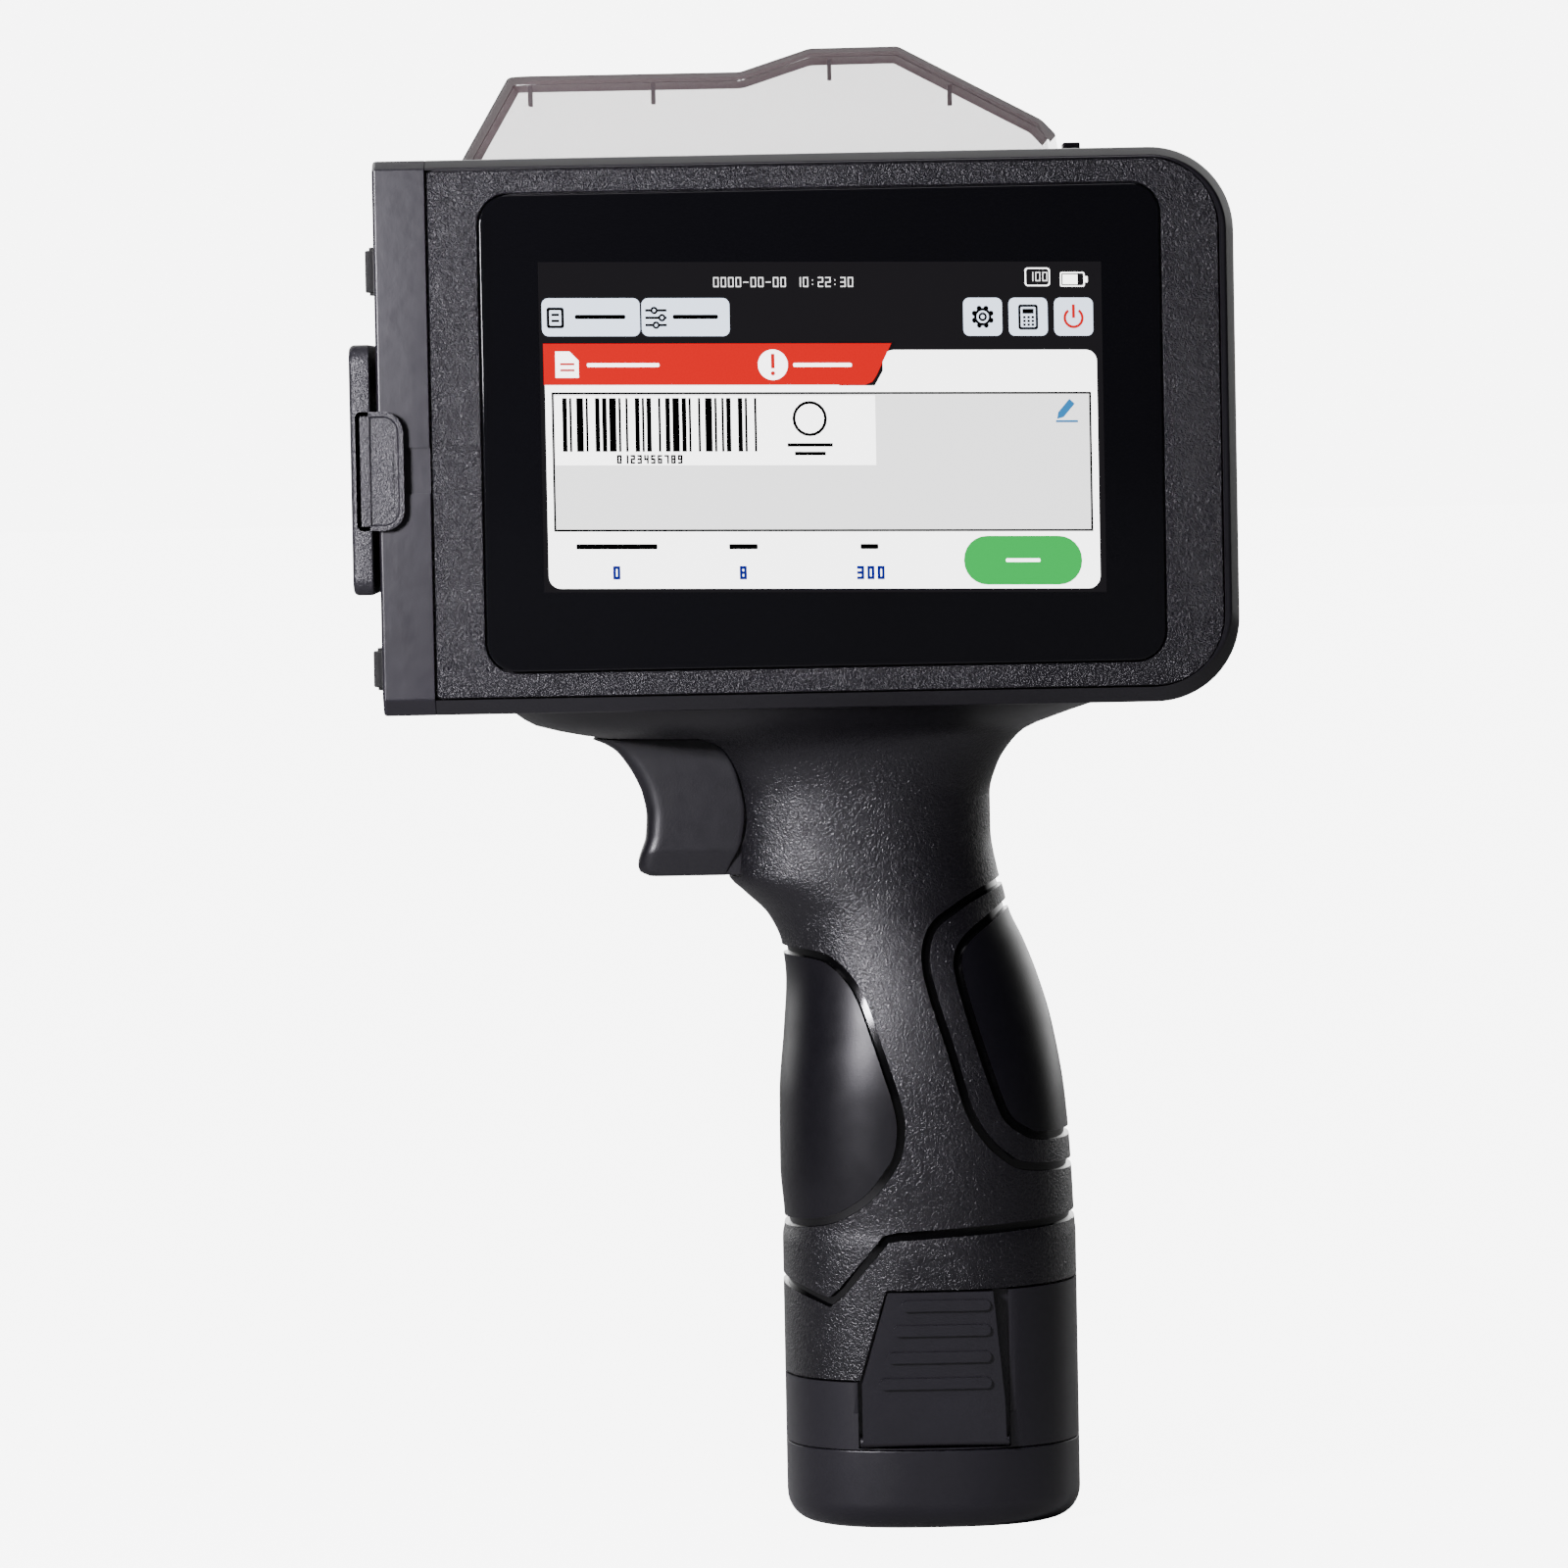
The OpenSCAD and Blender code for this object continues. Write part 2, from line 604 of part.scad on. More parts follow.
// The grip's full outer form, drawn smaller by inset, between two sections.
module grip_form(inset, first, last) {
    for (i = [first:last - 1]) hull() for (s = [sections[i], sections[i + 1]])
        translate([0, 0, s[0]]) linear_extrude(0.01)
            polygon(section_outline(s[1], s[2], s[3], inset, 2.35, 36));
}

module grip_casing() {
    difference() {
        grip_form(0, 0, len(sections) - 1);
        difference() {
            grip_form(grip_wall, 5, len(sections) - 2);
            for (p = grip_screw_at) rod_y(p[0], p[1], 3.2, -30, 30);
        }
        // round hole for the pack's stem
        intersection() {
            cylinder(r = bore_r_grip, h = bore_top, $fn = 48);
            block([-30, -bore_half, 0], [30, bore_half, 90]);
        }
        translate([0, 0, bore_top - 0.1]) linear_extrude(8.2)
            polygon(section_outline(-24.1, 21.5, 21.6, grip_wall, 2.35, 36));
        // lower edge
        along_y(-40, 40) polygon(concat([[30, 0], [-30, 0]], edge));
        // opening for the trigger
        block([-60, -trigger_half - 0.4, 109.6], [-22, trigger_half + 0.4, trigger_high + 0.5]);
        // wiring hole and screw holes
        rod_z([4, -3], 6, 130, grip_top + cut);
        for (p = neck_screw_at) rod_z(p, 1.7, 135.2, grip_top + cut);
        for (p = grip_screw_at) {
            rod_y(p[0], p[1], 1.7, -8.5, 40);
            rod_y(p[0], p[1], 3, grip_screw_seat, 40);
        }
    }
}

module grip_near_shell() {
    color([0.08, 0.08, 0.09]) intersection() {
        grip_casing();
        block([-90, -50, 0], [60, 0, 160]);
    }
}

module grip_far_shell() {
    color([0.08, 0.08, 0.09]) intersection() {
        grip_casing();
        block([-90, 0, 0], [60, 50, 160]);
    }
}

module grip_screws()
    color([0.2, 0.2, 0.2]) for (p = grip_screw_at) translate([p[0], grip_screw_seat, p[1]])
        rotate([-90, 0, 0]) screw(2.7, 2, 1.42, 16);

module trigger() {
    color([0.1, 0.1, 0.11]) difference() {
        union() {
            along_y(-trigger_half, trigger_half)
                polygon(concat(trigger_front, [[-34, trigger_high], [-34, trigger_low]]));
            block([-35, -trigger_half, 111], [trigger_back - 1, trigger_half, 132]);
            block([-28, -6, 114], [trigger_back, 6, 129]);
        }
        // hollow behind the finger face
        block([-40, -trigger_half + 2, 113.5], [-30, trigger_half - 2, 129.5]);
    }
}

module trigger_switch() {
    color([0.12, 0.12, 0.12]) block([switch_front, -7, 112], [-2, 7, 130]);
    color([0.7, 0.1, 0.1]) block([switch_front - 1.6, -2, 124.5], [switch_front + 0.1, 2, 128]);
}

module trigger_spring()
    color("silver") spring_x(trigger_back + 0.55, switch_front - 0.55, 0, 118, 3, 0.45, 6);

module battery_contact_block() {
    color([0.1, 0.1, 0.1]) {
        translate([0, 0, 78.5]) linear_extrude(2.5)
            polygon(section_outline(-24.1, 21.5, 21.6, grip_wall + 0.1, 2.35, 36));
        block([-12, -8, 80.9], [10, 8, 85]);
    }
}

module contact_blades()
    color([0.8, 0.7, 0.4]) for (x = blade_x) block([x - 0.4, -2.5, 71.8], [x + 0.4, 2.5, 78.5]);

module wiring_loom() {
    color([0.5, 0.05, 0.05]) sweep([[6, -19, 160], [6, -17.5, 155], [6, -13, 150], [5.6, -8.5, 145],
        [5, -5.5, 139], [3.6, -3.5, 133], [2.4, -2, 127], [2.2, -1, 119], [2.2, 0, 110],
        [1.6, 0, 101], [0.6, 0, 93], [0, 0, 85.1]], 1.8, 10);
}

// ---- Battery pack ----

// The pack's outline, drawn smaller by inset.
module pack_outline(inset = 0)
    polygon(section_outline(-pack_half_x, pack_half_x, pack_half_y, inset, 2.6, 48));

// The stem's form, with its near and far sides cut flat.
module stem_form(r, half, z0, z1) intersection() {
    rod_z([0, 0], r, z0, z1);
    block([-30, -half, z0 - cut], [30, half, z1 + cut]);
}

module battery_shell() {
    color([0.09, 0.09, 0.1]) difference() {
        union() {
            difference() {
                translate([0, 0, base_h + 0.2]) linear_extrude(30) pack_outline();
                // upper edge, kept just under the grip's
                along_y(-40, 40) translate([0, -0.35]) polygon(concat(edge, [[30, 60], [-30, 60]]));
                // windows for the two squeeze clips
                for (y = [[-30, -flat_half], [flat_half, 30]]) along_y(y[0], y[1]) polygon([
                    [-12.8, clip_low - 1.1], [12.8, clip_low - 1.1], [12.8, 60], [-7.9, 60],
                    [-8.2, edge_high], [-12.8, edge_low]]);
            }
            stem_form(stem_r, flat_half, base_h + 0.2, stem_top);
        }
        stem_form(stem_r - 1.1, flat_half - stem_wall, base_h - cut, stem_top - 1.6);
        for (x = blade_x) block([x - 1.2, -3.4, stem_top - 3], [x + 1.2, 3.4, stem_top + cut]);
        for (x = [-19, 19]) rod_z([x, 0], 1, base_h - cut, base_h + 5);
    }
}

module battery_base_cap() {
    color([0.09, 0.09, 0.1]) difference() {
        union() {
            for (s = [[0, 4.2, 1.6, 1.5], [1.6, 1.5, 4.6, 0.25], [4.6, 0.25, base_h, 0]]) hull() {
                translate([0, 0, s[0]]) linear_extrude(0.01) pack_outline(s[1]);
                translate([0, 0, s[2] - 0.01]) linear_extrude(0.01) pack_outline(s[3]);
            }
        }
        translate([0, 0, 3]) stem_form(stem_r - 1.1, flat_half - stem_wall, 0, base_h);
        for (x = [-22, 22]) rod_z([x, 0], 1.1, 2, base_h + cut);
    }
}

// A squeeze clip of the pack on its near side, with its finger ribs and the rod it rocks on.
module squeeze_clip() {
    y = -pack_half_y;
    along_y(y, y + clip_t) polygon(clip_outline);
    rod_x(y + clip_t / 2, clip_low, clip_t / 2, -12.5, 12.5);
    for (rib = rib_at) along_y(y - 0.6, y + 0.1)
        panel(rib[0], rib_right, rib[1] - 0.9, rib[1] + 0.9, 0.85, 0.85);
}

module battery_clip_near() color([0.09, 0.09, 0.1]) squeeze_clip();

module battery_clip_far() color([0.09, 0.09, 0.1]) mirror([0, 1, 0]) squeeze_clip();

module battery_cells()
    color([0.2, 0.45, 0.7]) for (a = [0:120:240]) rotate([0, 0, a])
        rod_z([cell_ring, 0], cell_r - 0.15, cell_low, cell_low + cell_h);

module cell_holder() {
    color([0.85, 0.85, 0.8]) for (z = [20, 58]) difference() {
        stem_form(stem_r - 1.5, flat_half - stem_wall - gap, z, z + 2);
        for (a = [0:120:240]) rotate([0, 0, a]) rod_z([cell_ring, 0], cell_r - 0.05, z - cut, z + 2 + cut);
    }
}

module battery_board() {
    color([0.05, 0.3, 0.15]) rod_z([0, 0], 17, 69.2, 70.4);
    color([0.05, 0.05, 0.05]) for (x = [-12, 8]) block([x, -12, 70.3], [x + 5, -7, 71.4]);
}

module battery_terminals()
    color("gold") for (x = blade_x) block([x - 1.5, -3, 70.4], [x + 1.5, 3, 71.5]);

module nickel_strips() {
    color("silver") for (z = [cell_low - 0.25, cell_low + cell_h + 0.05]) for (a = [0, 120])
        rotate([0, 0, a + 60]) translate([-3, -10, z]) cube([6, 20, 0.2]);
}

module pack_screws()
    color([0.2, 0.2, 0.2]) for (x = [-22, 22]) translate([x, 0, 3.2]) cylinder(r = 1, h = base_h - 3.2);

head_front_shell();
head_rear_shell();
front_bezel();
touch_glass();
lcd_module();
main_board();
board_screws();
head_screws();
neck_screws();
print_end_cap();
nozzle_cap();
nozzle_seal();
nozzle_cap_pin();
cartridge_holder();
ink_cartridge();
nozzle_plate();
cartridge_contact_board();
cartridge_cover();
cover_hinge_pin();
cover_latch();
latch_spring();
encoder_axle();
encoder_wheels();
encoder_disc();
encoder_sensor();
guide_axle();
guide_rollers();
axle_bushes();
io_panel();
power_button();
power_switch();
port_flap();
port_flap_pin();
usb_socket();
dc_socket();
buzzer();
grip_near_shell();
grip_far_shell();
grip_screws();
trigger();
trigger_switch();
trigger_spring();
battery_contact_block();
contact_blades();
wiring_loom();
battery_shell();
battery_base_cap();
battery_clip_near();
battery_clip_far();
battery_cells();
cell_holder();
battery_board();
battery_terminals();
nickel_strips();
pack_screws();
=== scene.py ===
"""Hand-held date code inkjet printer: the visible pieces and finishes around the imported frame.

Lengths in the classes are millimetres; MM turns them into metres where a mesh is made.
"""

import json
import logging
import math
from dataclasses import dataclass
from enum import Enum
from typing import Callable, Iterable, Sequence

import bmesh
import bpy
from mathutils import Matrix, Vector

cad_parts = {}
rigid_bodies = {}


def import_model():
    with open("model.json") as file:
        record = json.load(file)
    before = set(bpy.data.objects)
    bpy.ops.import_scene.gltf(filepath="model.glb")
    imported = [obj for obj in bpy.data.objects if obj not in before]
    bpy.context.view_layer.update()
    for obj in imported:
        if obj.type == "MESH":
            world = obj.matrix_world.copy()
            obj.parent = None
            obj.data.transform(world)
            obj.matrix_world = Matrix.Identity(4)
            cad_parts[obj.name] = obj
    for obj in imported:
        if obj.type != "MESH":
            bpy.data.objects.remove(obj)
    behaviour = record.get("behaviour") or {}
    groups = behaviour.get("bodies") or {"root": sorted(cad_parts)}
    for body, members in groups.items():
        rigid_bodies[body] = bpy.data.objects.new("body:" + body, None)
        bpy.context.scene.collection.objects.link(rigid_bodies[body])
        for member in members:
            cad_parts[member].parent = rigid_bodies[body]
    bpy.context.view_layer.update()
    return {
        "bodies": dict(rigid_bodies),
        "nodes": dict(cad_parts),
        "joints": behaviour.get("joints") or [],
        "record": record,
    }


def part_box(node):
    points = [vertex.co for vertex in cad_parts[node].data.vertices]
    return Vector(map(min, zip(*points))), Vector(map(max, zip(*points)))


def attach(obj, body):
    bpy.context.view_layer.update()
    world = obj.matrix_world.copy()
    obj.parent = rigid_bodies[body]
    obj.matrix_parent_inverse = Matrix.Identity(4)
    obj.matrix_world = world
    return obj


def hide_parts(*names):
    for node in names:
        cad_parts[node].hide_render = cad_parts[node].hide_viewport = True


LOG = logging.getLogger("date_coder")
MM = 0.001
WELD = 1e-6  # metres within which two corners are one
PIN_BORE = 1.05  # radius of the pin's bore in a hinge knuckle
KNUCKLE = 2.2  # radius of a hinge knuckle
Point = tuple[float, float]
Colour = tuple[float, float, float]


# ---------------------------------------------------------------- small geometry

class Axis(Enum):
    """The axis along which a flat outline is pushed into a solid."""

    X = "x"
    Y = "y"
    Z = "z"

    def place(self, u: float, v: float, along: float) -> Vector:
        """Turns an outline point and a distance along the axis into a place in metres.

        Args:
            u: First outline coordinate: Y for axis X, X otherwise.
            v: Second outline coordinate: Y for axis Z, Z otherwise.
            along: Distance along the axis.

        Returns:
            The place in metres.
        """
        if self is Axis.X:
            return Vector((along, u, v)) * MM
        if self is Axis.Y:
            return Vector((u, along, v)) * MM
        return Vector((u, v, along)) * MM


@dataclass(frozen=True)
class Rect:
    """A rectangle with a radius on each corner, anticlockwise from the low left one."""

    left: float
    right: float
    low: float
    high: float
    radii: tuple[float, float, float, float] = (0.0, 0.0, 0.0, 0.0)

    def grown(self, by: float) -> "Rect":
        """Returns the rectangle grown on every side, its corners with it."""
        radii = tuple(max(r + by, 0.0) if r else 0.0 for r in self.radii)
        return Rect(self.left - by, self.right + by, self.low - by, self.high + by, radii)

    def outline(self, steps: int = 10) -> list[Point]:
        """Returns the outline's points, anticlockwise.

        Args:
            steps: Number of straight stretches in each rounded corner.

        Returns:
            The points, starting at the low left corner.
        """
        corners = (
            (self.left, self.low, 1, 1, 180), (self.right, self.low, -1, 1, 270),
            (self.right, self.high, -1, -1, 0), (self.left, self.high, 1, -1, 90),
        )
        points: list[Point] = []
        for (u, v, du, dv, start), radius in zip(corners, self.radii):
            if radius <= 0:
                points.append((u, v))
                continue
            for i in range(steps + 1):
                angle = start + 90 * i / steps
                points.append(around(u + du * radius, v + dv * radius, radius, angle))
        return points

    def solid(self, axis: Axis, low: float, high: float, steps: int = 10) -> bmesh.types.BMesh:
        """Pushes the rectangle along an axis into a closed solid.

        Args:
            axis: The axis to push along.
            low: Where the solid starts.
            high: Where it ends.
            steps: Number of straight stretches in each rounded corner.

        Returns:
            A new bmesh.
        """
        return prism(self.outline(steps), axis, low, high)


def blend_values(knots: Sequence[float], values: Sequence[float], at: float) -> float:
    """Runs a smooth curve with no overshoot through values at knots.

    Args:
        knots: Rising positions.
        values: One value for each knot.
        at: Position to read.

    Returns:
        The curve's value there, held level past both ends.
    """
    if at <= knots[0]:
        return values[0]
    if at >= knots[-1]:
        return values[-1]
    slopes = [(values[i + 1] - values[i]) / (knots[i + 1] - knots[i]) for i in range(len(knots) - 1)]

    def tangent(i: int) -> float:
        """Returns the harmonic mean of the slopes on both sides of a knot."""
        if i == 0:
            return slopes[0]
        if i == len(knots) - 1:
            return slopes[-1]
        before, after = slopes[i - 1], slopes[i]
        return 0.0 if before * after <= 0 else 2 * before * after / (before + after)

    i = max(k for k in range(len(knots) - 1) if knots[k] <= at)
    width = knots[i + 1] - knots[i]
    t = (at - knots[i]) / width
    return ((2 * t**3 - 3 * t**2 + 1) * values[i] + (t**3 - 2 * t**2 + t) * width * tangent(i)
            + (3 * t**2 - 2 * t**3) * values[i + 1] + (t**3 - t**2) * width * tangent(i + 1))


def smooth_path(points: Sequence[Point], pieces: int = 6) -> list[Point]:
    """Rounds a chain of points with a curve that passes through each of them.

    Args:
        points: The chain.
        pieces: Straight stretches between two neighbours.

    Returns:
        The points of the curve.
    """
    chain = [points[0], *points, points[-1]]
    result: list[Point] = []
    for a, b, c, d in zip(chain, chain[1:], chain[2:], chain[3:]):
        for k in range(pieces):
            t = k / pieces
            result.append(tuple(
                0.5 * (2 * b[n] + (c[n] - a[n]) * t + (2 * a[n] - 5 * b[n] + 4 * c[n] - d[n]) * t**2
                       + (3 * b[n] - a[n] - 3 * c[n] + d[n]) * t**3) for n in (0, 1)))
    return [*result, points[-1]]


def distance_to(path: Sequence[Point], x: float, z: float) -> float:
    """Returns the shortest distance from a place to a chain of straight stretches."""
    best = 1e9
    for (x0, z0), (x1, z1) in zip(path, path[1:]):
        dx, dz = x1 - x0, z1 - z0
        t = max(0.0, min(1.0, ((x - x0) * dx + (z - z0) * dz) / (dx * dx + dz * dz)))
        best = min(best, math.hypot(x - x0 - t * dx, z - z0 - t * dz))
    return best


def inside(path: Sequence[Point], x: float, z: float) -> bool:
    """Tells whether a place is inside a closed chain."""
    found = False
    for (x0, z0), (x1, z1) in zip(path, [*path[1:], path[0]]):
        if (z0 > z) != (z1 > z) and x < x0 + (z - z0) * (x1 - x0) / (z1 - z0):
            found = not found
    return found


def around(u: float, v: float, radius: float, angle: float) -> Point:
    """Returns a point of a circle.

    Args:
        u: First coordinate of its middle.
        v: Second coordinate of its middle.
        radius: Its radius.
        angle: Angle of the point, in degrees.

    Returns:
        The point.
    """
    return u + radius * math.cos(math.radians(angle)), v + radius * math.sin(math.radians(angle))


def superellipse(left: float, right: float, half: float, power: float, angle: float) -> Point:
    """Returns a point of a rounded box section.

    Args:
        left: Lowest X.
        right: Highest X.
        half: Half depth in Y.
        power: 2 for an ellipse, more for a squarer section.
        angle: Angle round the section, in degrees.

    Returns:
        X and Y of the point.
    """
    c, s = math.cos(math.radians(angle)), math.sin(math.radians(angle))
    middle, reach = (left + right) / 2, (right - left) / 2
    return (middle + reach * math.copysign(abs(c) ** (2 / power), c),
            half * math.copysign(abs(s) ** (2 / power), s))


# ---------------------------------------------------------------- meshes

def prism(outline: Sequence[Point], axis: Axis, low: float, high: float) -> bmesh.types.BMesh:
    """Pushes an outline along an axis into a closed solid.

    Args:
        outline: Corner points of the outline.
        axis: The axis to push along.
        low: Where the solid starts.
        high: Where it ends.

    Returns:
        A new bmesh.
    """
    bm = bmesh.new()
    base = bm.faces.new([bm.verts.new(axis.place(u, v, low)) for u, v in outline])
    grown = bmesh.ops.extrude_face_region(bm, geom=[base])
    top = [g for g in grown["geom"] if isinstance(g, bmesh.types.BMVert)]
    bmesh.ops.translate(bm, verts=top, vec=axis.place(0, 0, high - low))
    bmesh.ops.recalc_face_normals(bm, faces=bm.faces)
    return bm


def block(low: Sequence[float], high: Sequence[float]) -> bmesh.types.BMesh:
    """Makes a box between two corners.

    Args:
        low: The lowest corner.
        high: The highest corner.

    Returns:
        A new bmesh.
    """
    bm = bmesh.new()
    bmesh.ops.create_cube(bm, size=1)
    size = [b - a for a, b in zip(low, high)]
    middle = [(a + b) / 2 for a, b in zip(low, high)]
    bmesh.ops.scale(bm, verts=bm.verts, vec=Vector(size) * MM)
    bmesh.ops.translate(bm, verts=bm.verts, vec=Vector(middle) * MM)
    return bm


def turned(profile: Sequence[Point], centre: Sequence[float], axis: Axis,
           steps: int = 48) -> bmesh.types.BMesh:
    """Spins a closed profile round an axis.

    Args:
        profile: Points of radius and height along the axis.
        centre: A place on the axis.
        axis: The axis to spin round.
        steps: Number of steps in the full turn.

    Returns:
        A new bmesh.
    """
    bm = bmesh.new()
    verts = [bm.verts.new(Vector((r, 0, h)) * MM) for r, h in profile]
    edges = [bm.edges.new((a, b)) for a, b in zip(verts, [*verts[1:], verts[0]])]
    bmesh.ops.spin(bm, geom=[*verts, *edges], cent=(0, 0, 0), axis=(0, 0, 1), angle=2 * math.pi,
                   steps=steps, use_merge=True, use_duplicate=False)
    bmesh.ops.remove_doubles(bm, verts=bm.verts, dist=1e-7)
    bmesh.ops.recalc_face_normals(bm, faces=bm.faces)
    turn = {Axis.X: Matrix.Rotation(math.pi / 2, 4, "Y"), Axis.Y: Matrix.Rotation(-math.pi / 2, 4, "X"),
            Axis.Z: Matrix.Identity(4)}[axis]
    bmesh.ops.transform(bm, matrix=Matrix.Translation(Vector(centre) * MM) @ turn, verts=bm.verts)
    return bm


def add(bm: bmesh.types.BMesh, *others: bmesh.types.BMesh, slot: int = 0) -> bmesh.types.BMesh:
    """Adds other meshes to one and frees them.

    Args:
        bm: The mesh that grows.
        others: The meshes to add.
        slot: Material slot that the added faces take.

    Returns:
        The mesh that grew.
    """
    for other in others:
        for face in other.faces:
            face.material_index = slot
        held = bpy.data.meshes.new("held")
        other.to_mesh(held)
        bm.from_mesh(held)
        bpy.data.meshes.remove(held)
        other.free()
    return bm


def soften(bm: bmesh.types.BMesh, width: float, steps: int = 2, angle: float = 35,
           only: Callable[[bmesh.types.BMEdge], bool] | None = None) -> bmesh.types.BMesh:
    """Rounds the sharp edges of a mesh.

    Args:
        bm: The mesh.
        width: Width of the rounding.
        steps: Number of faces across it.
        angle: Edges bent by less than this many degrees stay as they are.
        only: A test that picks edges, or nothing for all of them.

    Returns:
        The same mesh.
    """
    edges = [e for e in bm.edges if len(e.link_faces) == 2
             and e.calc_face_angle(0) > math.radians(angle) and (only is None or only(e))]
    bmesh.ops.bevel(bm, geom=edges, offset=width * MM, offset_type="OFFSET", segments=steps,
                    profile=0.5, affect="EDGES", clamp_overlap=True, material=-1)
    return bm


def near_face(bm: bmesh.types.BMesh) -> bmesh.types.BMFace:
    """Returns the face of a mesh that lies nearest to the screen's side."""
    return min(bm.faces, key=lambda f: f.calc_center_median().y)


def inset(bm: bmesh.types.BMesh, face: bmesh.types.BMFace, width: float, depth: float = 0.0) -> None:
    """Draws in the edges of a face.

    Args:
        bm: The mesh.
        face: The face.
        width: How far the edges move in.
        depth: How far the face stands out, or sinks in where it's negative.
    """
    bmesh.ops.inset_region(bm, faces=[face], thickness=width * MM, depth=depth * MM, use_even_offset=True)


def close(bm: bmesh.types.BMesh) -> None:
    """Fills the open rims of a mesh and turns its faces outwards."""
    bmesh.ops.holes_fill(bm, edges=[e for e in bm.edges if e.is_boundary], sides=0)
    bmesh.ops.recalc_face_normals(bm, faces=bm.faces)


def round_bar(radius: float, low: float, high: float, centre: Sequence[float],
              steps: int) -> bmesh.types.BMesh:
    """Makes an upright round bar.

    Args:
        radius: Its radius.
        low: Its lower end, measured up from the centre.
        high: Its upper end.
        centre: A place on its axis.
        steps: Number of steps in the full turn.

    Returns:
        A new bmesh.
    """
    core = 0.001
    return turned([(core, low), (radius, low), (radius, high), (core, high)], centre, Axis.Z, steps)


def knuckle(place: Sequence[float], length: float, axis: Axis) -> bmesh.types.BMesh:
    """Makes a hinge knuckle with softened ends.

    Args:
        place: The middle of its first end.
        length: Its length.
        axis: The hinge's axis.

    Returns:
        A new bmesh.
    """
    profile = [(PIN_BORE, 0), (KNUCKLE, 0), (KNUCKLE, length), (PIN_BORE, length)]
    return soften(turned(profile, place, axis), 0.25)


def copy_of(node: bpy.types.Object) -> bmesh.types.BMesh:
    """Copies a frame node and joins its loose triangles.

    Args:
        node: The frame's object.

    Returns:
        A new bmesh.
    """
    bm = bmesh.new()
    bm.from_mesh(node.data)
    bmesh.ops.remove_doubles(bm, verts=bm.verts, dist=2e-6)
    bmesh.ops.recalc_face_normals(bm, faces=bm.faces)
    return bm


def merge_flat(bm: bmesh.types.BMesh) -> bmesh.types.BMesh:
    """Joins the faces of a mesh that lie in one plane."""
    bmesh.ops.dissolve_limit(bm, angle_limit=math.radians(0.6), verts=bm.verts, edges=bm.edges)
    return bm


def ribbon(path: Sequence[Point], half: float) -> list[Point]:
    """Widens a chain into a closed outline.

    Args:
        path: The chain.
        half: Half of the width.

    Returns:
        The outline's points.
    """
    sides: list[list[Point]] = [[], []]
    for i, (x, z) in enumerate(path):
        (x0, z0), (x1, z1) = path[max(i - 1, 0)], path[min(i + 1, len(path) - 1)]
        before = Vector((x - x0, z - z0)).normalized() if i else None
        after = Vector((x1 - x, z1 - z)).normalized() if i < len(path) - 1 else None
        along = ((before or after) + (after or before)).normalized()
        reach = half / max(0.5, along.dot(before or after))
        for side, sign in zip(sides, (1, -1)):
            side.append((x - sign * along.y * reach, z + sign * along.x * reach))
    return sides[0] + sides[1][::-1]


def middle_of(edge: bmesh.types.BMEdge) -> Vector:
    """Returns the middle of an edge, in millimetres."""
    return (edge.verts[0].co + edge.verts[1].co) / 2 / MM


# ---------------------------------------------------------------- finishes

def scaled(tint: Colour, by: float) -> Colour:
    """Returns a colour made lighter or darker by a factor."""
    return tuple(c * by for c in tint)


